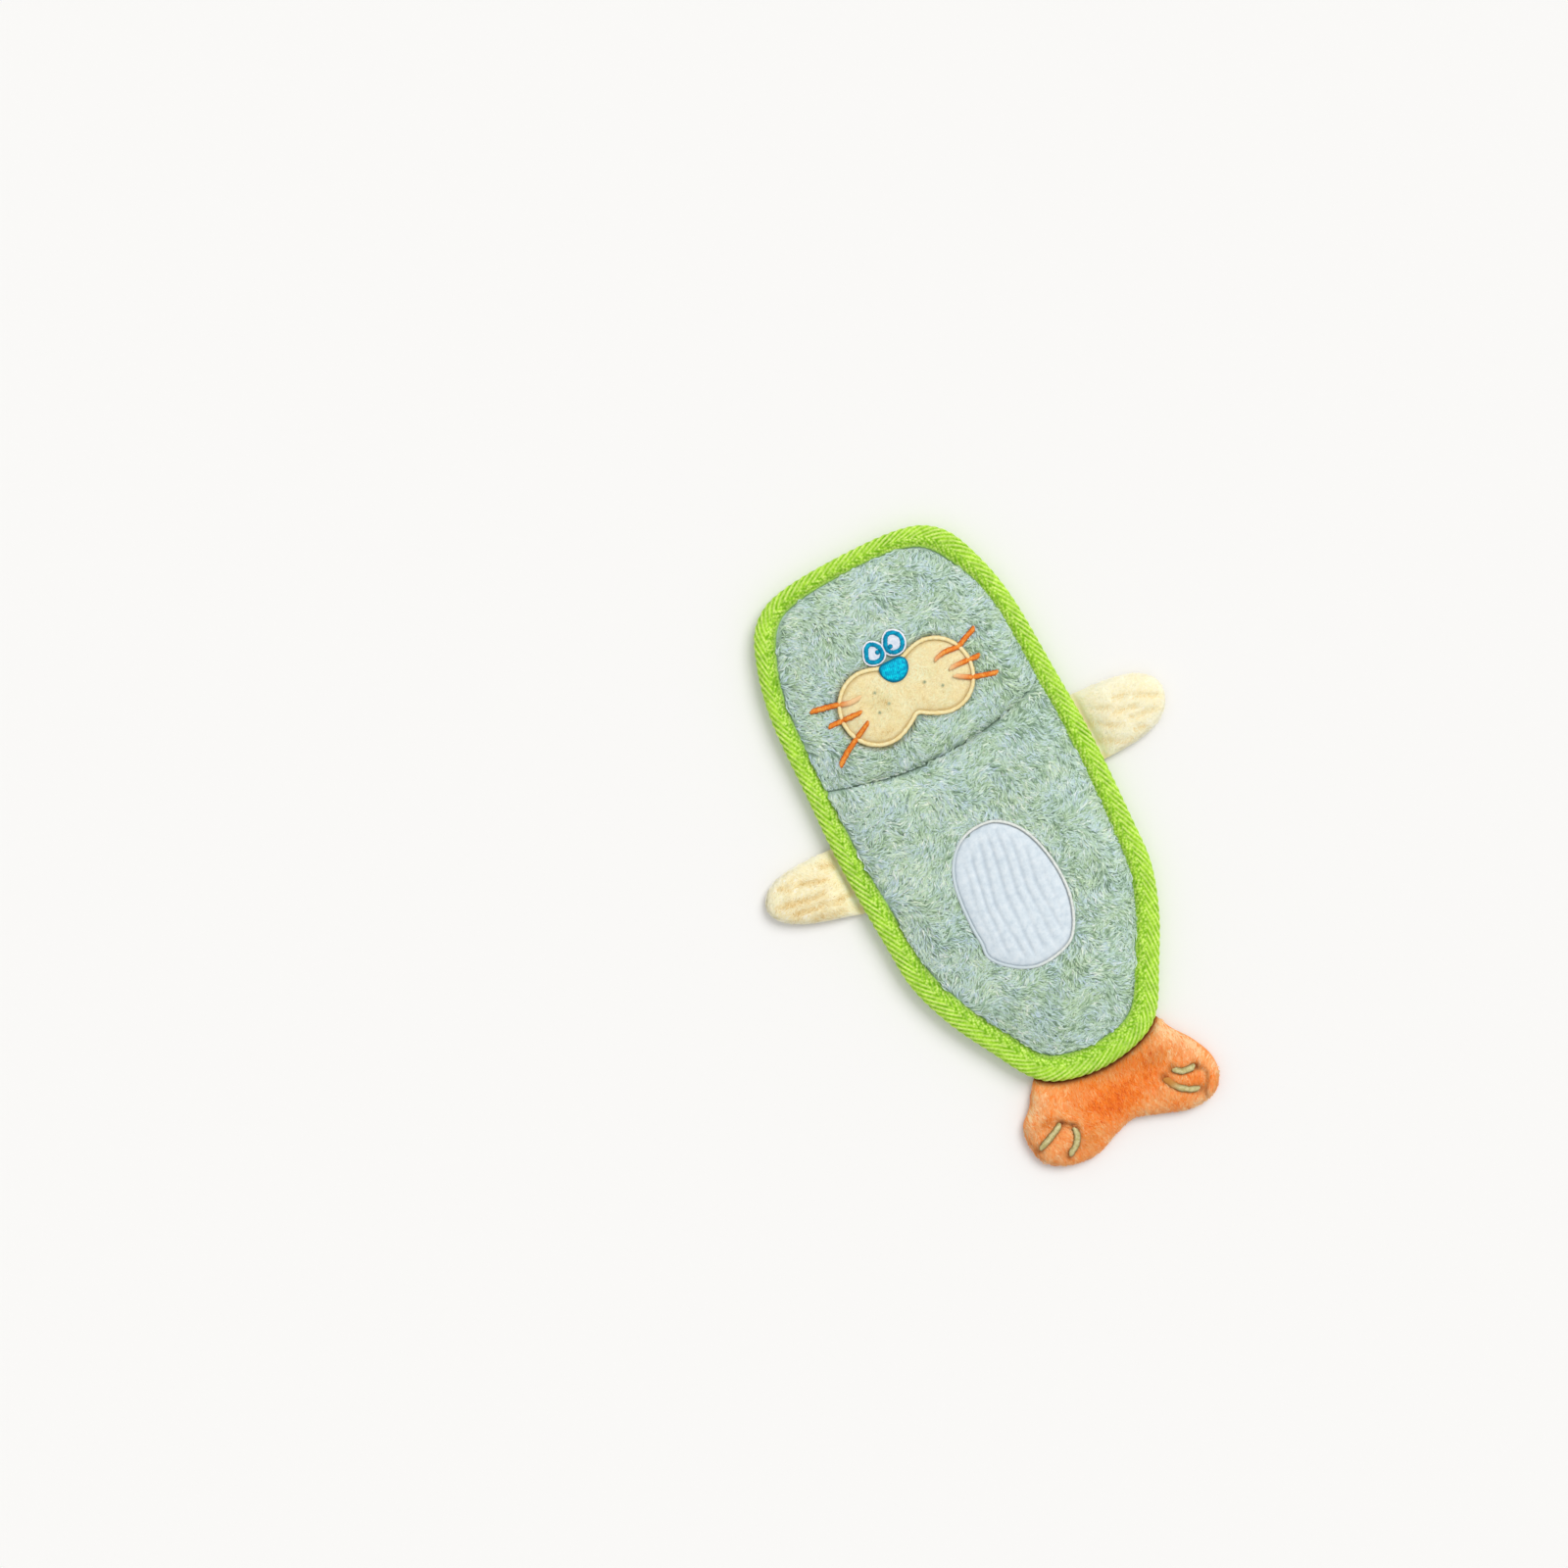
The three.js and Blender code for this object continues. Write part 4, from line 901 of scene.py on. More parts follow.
flipper = {
    "reach": 35.4,
    "root": 31,
    "grooveDepth": 0.5,
    "grooveWidth": 1.35,
    "middleX": 79,
    "battingIn": 2.2,  # how far the stuffing stays in from the cover's edge
    "left": {
        "side": -1, "rootX": 61.4, "rootY": 14.745, "rise": 4.4, "taper": 0.24, "lower": 0.2, "upper": 0.03,
        "pale": -0.03, "grooveShade": 0.4, "seed": 51,
        "grooves": [[(-80.5, 23.6), (-76, 21.6), (-70, 20), (-66.5, 19.6)],
                    [(-93.5, 18.9), (-85, 17.4), (-80, 16.1), (-75, 15), (-68.5, 16.2)],
                    [(-89, 13), (-84, 12.2), (-80, 11.4), (-71, 10.4)],
                    [(-82, 7.8), (-77, 5.8), (-71, 4.2), (-65, 3.7)],
                    [(-88.5, 25.8), (-84, 24.4)],
                    [(-69, 26.4), (-65, 24.2), (-62, 22.2)],
                    [(-70.5, 8.6), (-65, 9.4), (-62, 9.2)]],
    },
    "right": {
        "side": 1, "rootX": 61.4, "rootY": 25.493, "rise": 0.9, "taper": 0.2, "lower": -0.1, "upper": 0.12,
        "pale": 0.16, "grooveShade": 0.24, "seed": 52,
        "grooves": [[(82, 28.4), (86, 27.2), (90, 25), (94, 22.8)],
                    [(62, 26.6), (66, 23.4), (70, 20.7), (74, 19.4)],
                    [(71.5, 25.8), (76, 25), (80, 24.4), (84, 22.8)],
                    [(62, 18.6), (66, 15.4), (70, 13.4), (76, 12)],
                    [(77, 20.8), (82, 19.9), (90, 19)],
                    [(64.5, 31.5), (69, 29.4), (73, 28.2)],
                    [(77.5, 15.6), (82, 14.6)],
                    [(75, 31.2), (80, 30.4)]],
    },
}

tail = {
    "width": 89,
    "length": 33,
    "shares": [(-0.84, 0.03), (-0.966, 0.2), (-1, 0.42), (-0.95, 0.72), (-0.755, 0.91), (-0.45, 0.955),
               (-0.235, 0.85), (0, 0.765), (0.22, 0.85), (0.56, 1), (0.8, 0.96), (0.93, 0.78), (0.955, 0.52),
               (0.86, 0.2), (0.735, -0.04)],
    "rootHalf": 28,
    "reach": 13,  # how far from its edge the tail is fully swollen
    "fuller": 1.06,  # than a flipper
    "pinch": (2.0, 0.7),  # how wide and deep the toe stitches draw the plush in
    "crease": (1.1, 0.5),
    "middle": (0, -117.5),
    "toeMiddle": (0, -122.5),
    "toes": {
        "left_outer_toe": [(-0.465, -0.052), (-0.393, 0.021), (-0.317, 0.118)],
        "left_inner_toe": [(-0.268, 0), (-0.272, -0.106), (-0.303, -0.221), (-0.352, -0.297)],
        "right_outer_toe": [(0.276, 0.082), (0.312, -0.003), (0.38, -0.027)],
        "right_inner_toe": [(0.222, 0.03), (0.253, -0.136), (0.298, -0.245), (0.351, -0.312)],
    },
    "creases": [  # in the plush beside the toe stitches
        [(-28.7, -118.2), (-26, -119.6), (-23.6, -121.8), (-23.2, -124)],
        [(33.2, -123), (35.6, -125), (37, -127.6), (35.8, -131), (33.6, -134), (32.4, -137.2)],
    ],
    "toneSpots": [  # soft spots of deeper orange, or paler above 0
        (-4, -119, 13, 7, -0.36), (14, -113, 8, 4, -0.2), (14, -126, 8, 4, 0.12), (-33, -114, 6, 3, -0.2),
        (-22, -131, 7, 4, -0.1), (37, -112, 8, 9, 0.4), (30, -103, 6, 5, 0.3), (-38, -112, 9, 7, 0.3),
        (2, -128, 14, 4, 0.1), (30, -137, 9, 4, 0.2), (-34, -126, 8, 7, 0.16), (-28, -106, 9, 5, 0.14),
        (18, -116, 6, 2, -0.2),
    ],
    "browned": [
        (20, -113, 9, 3.5, 0.2), (-33.5, -115.8, 4.5, 2.2, 0.3), (-20, -130, 7, 4, 0.16),
        (4, -110, 16, 3, 0.08),
    ],
}


# What a piece is: the solids it stands for, which are hidden, and the body it rides on; a piece given a fold
# has its placement baked into its mesh.
def assign(piece, nodes=(), body=None, fold=None):
    if nodes:
        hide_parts(*nodes)
    if body:
        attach(piece, body)
    if fold:
        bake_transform(piece)


# How far a limb has swelled at a distance past its sewn edge.
def limbSwell(past):
    return np.sin(math.pi / 2 * np.clip(past / limb["ramp"], 0, 1)) ** 0.8


# How deep in a groove each point of a flipper lies: grooves fade at both ends.
def grooveField(hand, x, y):
    deepest = np.zeros(np.shape(x))
    for points in hand["grooves"]:
        path = smoothLine(points, 14, closed=False) if len(points) > 2 else np.array(points, float)
        middle, reach = path.mean(0), np.linalg.norm(path[-1] - path[0]) / 2 + 1.5
        fade = smoothStep(1.05, 0.55, np.hypot(x - middle[0], y - middle[1]) / reach)
        deepest = np.maximum(deepest, bell(distanceTo(path, x, y), flipper["grooveWidth"]) * fade)
    lengthwise = (y - hand["rootY"] - 0.25 * hand["side"] * (x - hand["rootX"])) / 4.4
    ripples = softNoise(x / 14, lengthwise, 1, hand["seed"]) - 0.5
    fine = softNoise(x / 3, y, 1.5, hand["seed"] + 1) - 0.5
    return np.clip(deepest + 0.2 * ripples + 0.06 * fine, 0, 1)


# A flipper's plan: how far out a point is, from 0 at the binding to 1 at the tip, and how far across, -1 to 1.
def flipperPlace(hand, x, y):
    out = (hand["side"] * x - hand["rootX"]) / flipper["reach"]
    share = np.clip(out, 0, 1)
    tip = np.sqrt(np.clip(1 - share ** 5, 0.0004, 1))
    half = flipper["root"] / 2 * (1 - hand["taper"] * share) * tip * (1 + 0.035 * np.sin(math.pi * share))
    low, high = half * (1 - hand["lower"] * share ** 0.7), half * (1 - hand["upper"] * share)
    up = y - hand["rootY"] - hand["rise"] * share
    return out, np.where(up > 0, up / high, up / low), low, high, tip


def flipperHeight(hand, x, y, side):
    out, across, low, high, tip = flipperPlace(hand, x, y)
    rise = limbSwell(out * flipper["reach"])
    up = np.clip(1 - np.abs(across) ** 2.3, 0, 1) ** 0.42
    edge = limb["tabHalf"] * np.sin(math.pi / 2 * np.clip(tip / 0.5, 0, 1))
    thick = edge + (limb["frontRise"] if side > 0 else limb["backFall"]) * rise * tip ** 0.8
    groove = flipper["grooveDepth"] * grooveField(hand, x, y) * rise * up
    return limb["rootZ"] + limb["lift"] * rise + side * up * (thick - (groove if side > 0 else 0.4 * groove))


def makeFlipper(word):
    hand, body = flipper[word], word + "_flipper"
    start = -limb["tuck"] / flipper["reach"]
    far = 0.02 + 0.98 * np.sin(np.linspace(0, 1, 84) * math.pi / 2)
    out = np.concatenate([np.linspace(start, 0.02, 12)[:-1], far])
    x = hand["side"] * (hand["rootX"] + out * flipper["reach"])[:, None] * np.ones((1, 97))
    below, above = flipperPlace(hand, x, x)[2:4]
    across = arcPlaces(97)[None]
    y = hand["rootY"] + hand["rise"] * np.clip(out, 0, 1)[:, None] + across * np.where(across > 0, above, below)
    top, low = (np.stack([x, y, flipperHeight(hand, x, y, side)], -1) for side in (1, -1))
    rings = np.concatenate([top, low[:, -2:0:-1]], axis=1)
    # The groove and root attributes are masks of painted shade: in the grooves, and at the root where the
    # binding shades the flipper.
    groove = grooveField(hand, rings[..., 0], rings[..., 1])
    distance = hand["side"] * rings[..., 0] - hand["rootX"]
    uneven = softNoise(rings[..., 1] / 4, 0 * distance, 1, hand["seed"] + 2)
    root = (0.05 + 0.6 * uneven) * np.exp(-np.clip(distance, 0, None) / 1.5)
    piece = skinned(body + "_cover", rings, flipperCloth, {"groove": groove, "root": root})
    assign(piece, [body + part for part in ("_front", "_back", "_tab")], fold=body)

    def tips(px, py):
        out, across, below = flipperPlace(hand, px, py)[:3]
        return (out > 0.015) & ((np.abs(across) - 1) * below < 0.5) & (out < 1.012)

    def roots(px, py):
        out, across = flipperPlace(hand, px, py)[:2]
        return (out > 0.03) & (out < 0.995) & (np.abs(across) < 0.985)

    # The pile's tone: paler or darker for each flipper, painted shade in the grooves and at the root beside the
    # binding, and paler towards the edges.
    def tint(px, py):
        out, across = flipperPlace(hand, px, py)[:2]
        groove = grooveField(hand, px, py)
        return hand["pale"] - hand["grooveShade"] * groove - 0.06 * np.exp(-out * 24) + 0.2 * np.abs(across) ** 6

    middle = hand["side"] * flipper["middleX"]
    low, high = (middle - 19, hand["rootY"] - 18), (middle + 19, hand["rootY"] + 20)
    style = dict(flipperNap, seed=hand["seed"] + 5, heading=0.0 if hand["side"] > 0 else math.pi, tint=tint)
    for side, part in ((1, "_front"), (-1, "_back")):
        base = lambda px, py: flipperHeight(hand, px, py, side)
        spots = tuftSpots(low, high, 1.0, roots, hand["seed"] + 6)
        fur = growPile(body + part + "_pile", style, spots, base, roots, flipperPile, side, tips)
        assign(fur, fold=body)
    makeFlipperBatting(hand, body)


# The stuffing of a flipper, which follows the inside of its cover.
def makeFlipperBatting(hand, body):
    out = np.linspace(0.24, 0.9, 16)[:, None]
    angle = np.linspace(0, 2 * math.pi, 33)[None, :-1]
    rise = limbSwell(out * flipper["reach"])
    tip = np.sqrt(1 - out ** 5)
    half = flipper["root"] / 2 * (1 - hand["taper"] * out) * tip - flipper["battingIn"]
    x = hand["side"] * (hand["rootX"] + out * flipper["reach"])
    y = hand["rootY"] + hand["rise"] * out + np.cos(angle) * half
    full = rise * tip ** 0.8
    high, low = limb["frontRise"] * full - 1.3, limb["backFall"] * full - 0.4
    up = np.sin(angle)
    z = limb["rootZ"] + limb["lift"] * rise + np.where(up > 0, up * high, up * low)
    piece = skinned(body + "_batting", np.stack([x * np.ones_like(z), y, z], -1), battingFibre)
    assign(piece, [body + "_filling"], body=body)


def tailLoop():
    half, top = tail["width"] / 2, pad["bottom"]
    points = [(x * half, top - down * tail["length"]) for x, down in tail["shares"]]
    points += [(tail["rootHalf"] - 1, top + 11), (tail["rootHalf"] * 0.6, top + 9.5), (0, top + 7),
               (-tail["rootHalf"] * 0.6, top + 9.5), (-tail["rootHalf"] + 1, top + 11)]
    return smoothLine(points, 460)


tailRim = tailLoop()
tailDepth = depthReader(tailRim[::2], 0.5)


# How far a point is past the binding's outer edge.
def pastBinding(x, y):
    return -padDepth(x, y)


def tailRise(x, y):
    return puff(tailDepth(x, y) / tail["reach"], 2.4, 0.5), limbSwell(pastBinding(x, y) + 0.5)


def tailTop(x, y):
    roundness, slope = tailRise(x, y)
    uneven = (softNoise(x, y, 9, 61) - 0.5) * 0.8 * roundness * slope
    (pinchWide, pinchDeep), (creaseWide, creaseDeep) = tail["pinch"], tail["crease"]
    pinch = sum(bell(distanceTo(path, x, y), pinchWide) for path in toePaths.values())
    crease = sum(bell(distanceTo(path, x, y), creaseWide) for path in tailCreases)
    sunk = (pinchDeep * np.minimum(pinch, 1) + creaseDeep * crease * roundness) * slope
    swell = limb["frontRise"] * tail["fuller"] * slope
    top = (limb["tabHalf"] + swell) * roundness + uneven - sunk
    return limb["rootZ"] + limb["lift"] * slope + np.maximum(top, 0)


def tailLow(x, y):
    roundness, slope = tailRise(x, y)
    return limb["rootZ"] + limb["lift"] * slope - roundness * (limb["tabHalf"] + limb["backFall"] * slope)


def toePath(shares, count):
    x, y = tail["toeMiddle"]
    return smoothLine([(x + a * tail["width"], y + b * tail["length"]) for a, b in shares], count, closed=False)


toePaths = {name: toePath(shares, 9) for name, shares in tail["toes"].items()}

tailCreases = [smoothLine(points, 12, closed=False) for points in tail["creases"]]

whiskerPaths = {name: smoothLine([fromMuzzle(p) for p in points], 40, closed=False)
                for name, points in face["whiskers"].items()}

eyeLoops = {word: smoothLine(face[word + "Eye"], 120) for word in ("left", "right")}
noseRim = smoothLine(face["nose"], 160)

setStudio()
print("studio set")

# Finishes

padStops = [(0.0, (132, 160, 134)), (0.16, (172, 200, 168)), (0.34, (202, 226, 202)), (0.5, (216, 238, 226)),
            (0.64, (212, 230, 242)), (0.8, (230, 247, 226)), (1.0, (250, 255, 253))]
padPile = pileMaterial("marled_plush", padStops, (146, 174, 158), cast=((253, 255, 240), (247, 251, 255)),
                       shade=(124, 104, 44))
backStops = [(0.3, (148, 176, 154)), (0.55, (176, 202, 184)), (0.75, (194, 216, 208))]
padCloth = clothMaterial("marled_backing", backStops)
flipperStops = [(0.0, (226, 196, 134)), (0.25, (244, 228, 180)), (0.5, (252, 245, 212)), (1.0, (255, 254, 240))]
flipperPile = pileMaterial("cream_pile", flipperStops, (246, 234, 196), cast=((255, 252, 242), (253, 255, 252)))
flipperNap = dict(perTuft=5, drift=10, swirl=1.2, scatter=0.5, patch=6, contrast=0.3, fleck=0.04, strand=0.1,
                  curl=0.1, reach=1.8, spread=0.45, lift=0.35, width=0.34, rootShade=0.85, shadow=False)
tailStops = [(0.0, (228, 106, 34)), (0.25, (254, 142, 44)), (0.5, (252, 168, 94)), (0.75, (255, 192, 126)),
             (1.0, (255, 224, 176))]
tailPile = pileMaterial("orange_pile", tailStops, (232, 122, 54), cast=((255, 255, 250), (252, 238, 226)),
                        shade=(112, 50, 14))
tailCloth = clothMaterial("orange_backing", [(0.3, (246, 140, 66)), (0.7, (255, 176, 112))],
                          shade=(112, 50, 14))
muzzleStops = [(0.0, (220, 190, 128)), (0.25, (242, 230, 182)), (0.55, (250, 242, 206)), (1.0, (254, 251, 224))]
muzzlePile = pileMaterial("straw_pile", muzzleStops, (242, 230, 188), cast=((255, 249, 232), (251, 255, 250)),
                          shade=(196, 162, 84))
muzzleCloth = clothMaterial("straw_backing", [(0.3, (234, 212, 156)), (0.7, (250, 238, 194))], 0.6,
                            shade=(196, 162, 84))
patchStops = [(0.3, (208, 221, 230)), (0.5, (222, 233, 240)), (0.7, (234, 242, 247))]
patchCloth = clothMaterial("ice_blue_velour", patchStops, 0.5, 0.4, shade=(150, 168, 186))

# Threads: the colour between two of them, on top of one, at the stitches' edge, and where they thin out. The
# edge colour is painted shade on the stitches' rounded sides and in the groove beside them; on the eye grounds
# it is paler, and on the dots it fades towards the muzzle's cream.
blueSatin = satinMaterial("blue_satin", (0, 128, 168), (0, 192, 226), (0, 116, 148), shine=0.12)
noseSatin = satinMaterial("nose_satin", (0, 150, 200), (0, 240, 255), (0, 116, 150), shine=0.1)
groundSatin = satinMaterial("lilac_white_satin", (212, 222, 236), (244, 247, 253), (255, 252, 255))
muzzleSatin = satinMaterial("cream_gold_satin", (250, 228, 164), (255, 250, 206), (188, 156, 88))
orangeSatin = satinMaterial("orange_satin", (236, 118, 12), (255, 186, 84), (198, 86, 8), (246, 206, 152))
dotThread = satinMaterial("sage_thread", (146, 156, 122), (186, 192, 154), (222, 212, 164))
patchSatin = satinMaterial("off_white_satin", (222, 228, 220), (250, 253, 248), (168, 170, 170),
                           (204, 218, 224))
toeThread = satinMaterial("olive_thread", (196, 184, 120), (238, 228, 178), (124, 98, 42), (202, 136, 58))


# Cream velour, with painted shade: tan in the grooves, and a warm tan at the root where the binding shades it.
velourStops = [(0.32, (248, 236, 198)), (0.5, (252, 245, 218)), (0.68, (252, 250, 232))]
flipperCloth = mottledMaterial("cream_velour", (5.0, 5.0, 0.62), velourStops, (0.7, 3.0, 0.6), (0.5, 0.3),
                               {"groove": (242, 220, 166), "root": (238, 204, 144)},
                               roughness=0.9, specular=0.1, sheen=0.3)
battingFibre = clothMaterial("fibre_batting", [(0.3, (226, 228, 228)), (0.6, (244, 245, 245))], 0.6)
filmFinish = mottledMaterial("crinkle_film", (9.0,), [(0.3, (196, 204, 210)), (0.7, (236, 240, 244))],
                             (5.0, 5.0, 0.7), (0.8, 0.5), roughness=0.18, specular=0.6)


# Twill tape: light ribs with dark grooves on the outer part, their contrast partly the lime weave and partly
# painted highlight on the rib tops and painted shade in the grooves; a speckled weave on the turned part.
def tapeMaterial():
    made, tree, shader = newMaterial("lime_twill", 0.7, specular=0.15)
    ribStops = [(0.0, (98, 168, 0)), (0.45, (190, 242, 62)), (1.0, (246, 255, 164))]
    ribbed = ramp(tree, attribute(tree, "rib"), ribStops)
    grains = addNode(tree, "TexVoronoi", {"Vector": fitted(tree, 1.15), "Scale": 1.0, "Randomness": 0.8})
    speckStops = [(0.12, (244, 255, 166)), (0.4, (200, 248, 86)), (0.7, (118, 184, 10))]
    specks = ramp(tree, grains.outputs["Distance"], speckStops)
    turned = blended(tree, 0.28, specks, ribbed)
    grained = blended(tree, 0.3, ribbed, specks)
    body = blended(tree, attribute(tree, "inner"), grained, turned)
    mottle = ramp(tree, noise(tree, 3.5, 4.0, 0.6), [(0.3, (218, 226, 218)), (0.65, (255, 255, 255))])
    worn = blended(tree, 1.0, tinted(tree, body, {"selvedge": (164, 210, 104)}), mottle, "MULTIPLY")
    tree.links.new(tinted(tree, worn, {"hole": (62, 112, 10)}), shader.inputs["Base Color"])
    bumped(tree, shader, noise(tree, 0.6, 2.0, 0.6), 0.5, 0.15)
    return made


limeTwill = tapeMaterial()

# Covers and their pile

for side in ("front", "back"):
    for half in ("head", "belly"):
        makeCover(side, half)
print("covers made")

# What is in the pad: fibre batting, a sheet of rustling film on it, and in a well of the belly's a squeaker.
inside = {
    "filmGap": 0.04,
    "filmThick": 0.1,
    "battingUnder": 0.3,  # how far the batting's top is under the cloth's inner face
    "battingOver": 0.1,  # and how far its underside is over the back's
    "battingIn": -1.2,  # how far in under the binding, so here it stays clear of it
    "filmIn": -2.5,
    "seamClear": 3.2,
    "wellMiddle": (0, -20.14),
    "wellRadius": 17.0,
    "wellSlope": 1.6,
    "wellFloor": 3.45,
}


def battingTop(x, y):
    top = underCloth(x, y) - inside["battingUnder"]
    radius = np.hypot(x - inside["wellMiddle"][0], y - inside["wellMiddle"][1])
    wall = smoothStep(inside["wellRadius"], inside["wellRadius"] + inside["wellSlope"], radius)
    return inside["wellFloor"] + (top - inside["wellFloor"]) * wall


def battingLow(x, y):
    return overBack(x, y) + inside["battingOver"]


for half in ("head", "belly"):
    plan = layerPlan(half, 96, 120, inside["battingIn"], inside["seamClear"])
    piece = layerPiece(half + "_batting", plan, battingTop, battingLow, battingFibre)
    assign(piece, [half + "_filling"], fold="head")

    plan = layerPlan(half, 60, 70, inside["filmIn"], inside["seamClear"])
    top = lambda x, y: underCloth(x, y) - inside["filmGap"]
    film = layerPiece(half + "_film", plan, top, lambda x, y: top(x, y) - inside["filmThick"], filmFinish)
    assign(film, [half + "_crinkle_sheet"], fold="head")

# The squeaker's two mouldings are matt, with a faint texture.
for name, finish, low, high in (("squeaker_shell", "milk_plastic", (222, 224, 220), (240, 241, 238)),
                                ("squeaker_reed", "reed_plastic", (196, 200, 204), (214, 218, 220))):
    plastic = mottledMaterial(finish, (4.0,), [(0.35, low), (0.65, high)], (0.4,), (0.2, 0.05),
                              roughness=0.38, specular=0.45)
    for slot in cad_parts[name].material_slots:
        slot.material = plastic
print("filling made")


# The plush is a little darker to the right and towards the tail.
def plushTint(x, y):
    return -0.1 * smoothStep(-10, 45, x) - 0.07 * smoothStep(-30, -90, y)


# The shade of the muzzle's border on the plush, deepest at its lower left.
def borderShade(x, y):
    mx, my = face["muzzleMiddle"]
    strength = 0.2 + 0.6 * smoothStep(4, 22, mx - x + my - y) + 0.4 * smoothStep(11, 16, y - my)
    return strength * bell(muzzleDepth(x, y) + 1.5, 1.1)


frontPile = dict(seed=11, perTuft=4, drift=10, swirl=2.0, heading=-0.6, scatter=0.42, patch=7, contrast=0.72,
                 fleck=0.09, strand=0.21, curl=0.12, reach=4.6, spread=0.5, lift=1.0, width=0.64,
                 rootShade=0.3, overhang=0.45, tuftGap=1.18, tint=plushTint)


def nearWhisker(x, y, gap):
    return np.any([distanceTo(path[::5], x, y) < gap for path in whiskerPaths.values()], axis=0)


# Where the front has no pile: under the patches and the stitching.
def bareFront(x, y):
    bare = (muzzleDepth(x, y) > -0.7) | (patchDepth(x, y) > -0.5) | nearWhisker(x, y, 0.75)
    for loop, grow in ((noseRim, 0.7), (eyeLoops["left"], 1.5), (eyeLoops["right"], 1.5)):
        bare |= insideLoop(spread(loop, grow), x, y)
    return bare


bareField = fieldReader(bareFront(*boxGrid((-64, -110), (64, 142), 0.5)).astype(float), (-64, -110), 0.5)


# The pile's own ground, which climbs a little so that the fibres lie against the binding's inner edge.
def pileGround(x, y):
    return frontCloth(x, y) + pad["pileClimb"] * smoothStep(1.9, -0.1, clearOfTape(x, y))


def makePadPile(side, half):
    front, towards = side == "front", 1 if half == "head" else -1

    def fits(x, y, beyond=0.0):
        fit = clearOfTape(x, y) > (-0.35 if front else 0.1) - beyond
        fit &= (y - seamY(x)) * towards > 0.2 - beyond
        return fit & (bareField(x, y) < 0.5) if front else fit

    low, high = ((-60, 42), (60, 136)) if half == "head" else ((-60, -104), (60, 54))
    style = dict(frontPile, shade=borderShade) if front else dict(frontPile, seed=14, lift=0.8, width=0.5)
    spots = tuftSpots(low, high, style["tuftGap"] * (1 if front else 1.25), fits, 21)
    name = side + "_" + half + "_pile"
    pile = growPile(name, style, spots, pileGround if front else backCloth, fits, padPile, 1 if front else -1,
                    lambda x, y: fits(x, y, style["overhang"] if front else 0.0))
    assign(pile, fold="head")
    print(name, len(pile.data.polygons))


for half in ("head", "belly"):
    for side in ("front", "back"):
        makePadPile(side, half)

# Binding

tape = {
    "halfThick": 2.75,
    "nose": 2.4,
    "pitch": 3.85,  # from one rib to the next, along the edge
    "shear": 2.0,  # how far a rib runs along the edge for each millimetre across it
    "rimSlip": 0.3,  # the share of the climb round the rim that counts as across
    "perRib": 6,
    "ribHeight": 0.5,
    "innerHeight": 0.2,
    "innerShare": 0.46,  # of the width, next to the pile, where the weave is turned back and pressed flat
    "crown": 0.35,
    "press": (0.45, 1.6),  # how deep its inner edge is sewn down, and how far that reaches
    "ripple": 0.5,
    "stitchPitch": 4.1,
    "stitchIn": 1.4,
    "holeWidth": 0.5,
    "holeDepth": 0.3,
    "lineWidth": 0.6,  # the line of stitches along the inner edge
    "lineDepth": 0.15,
}


# The steps of the tape's section on one side, from under its inner edge to where it turns over the rim. Each is
# a share of the tape's width and an offset, in millimetres in from the rim.
def tapeSteps():
    inner = tape["innerShare"]
    under = [(1, -1.6), (1, -0.3), (1, 0.1), (1, 0)]
    turned = [(1 - inner * t, -0.35 * (1 - t)) for t in np.linspace(0, 1, 11)]
    ribbed = [((1 - inner) * (1 - t), tape["nose"] * t - 0.25 * (1 - t)) for t in np.linspace(0, 1, 15)]
    return np.array(under + turned + ribbed), 4, 15


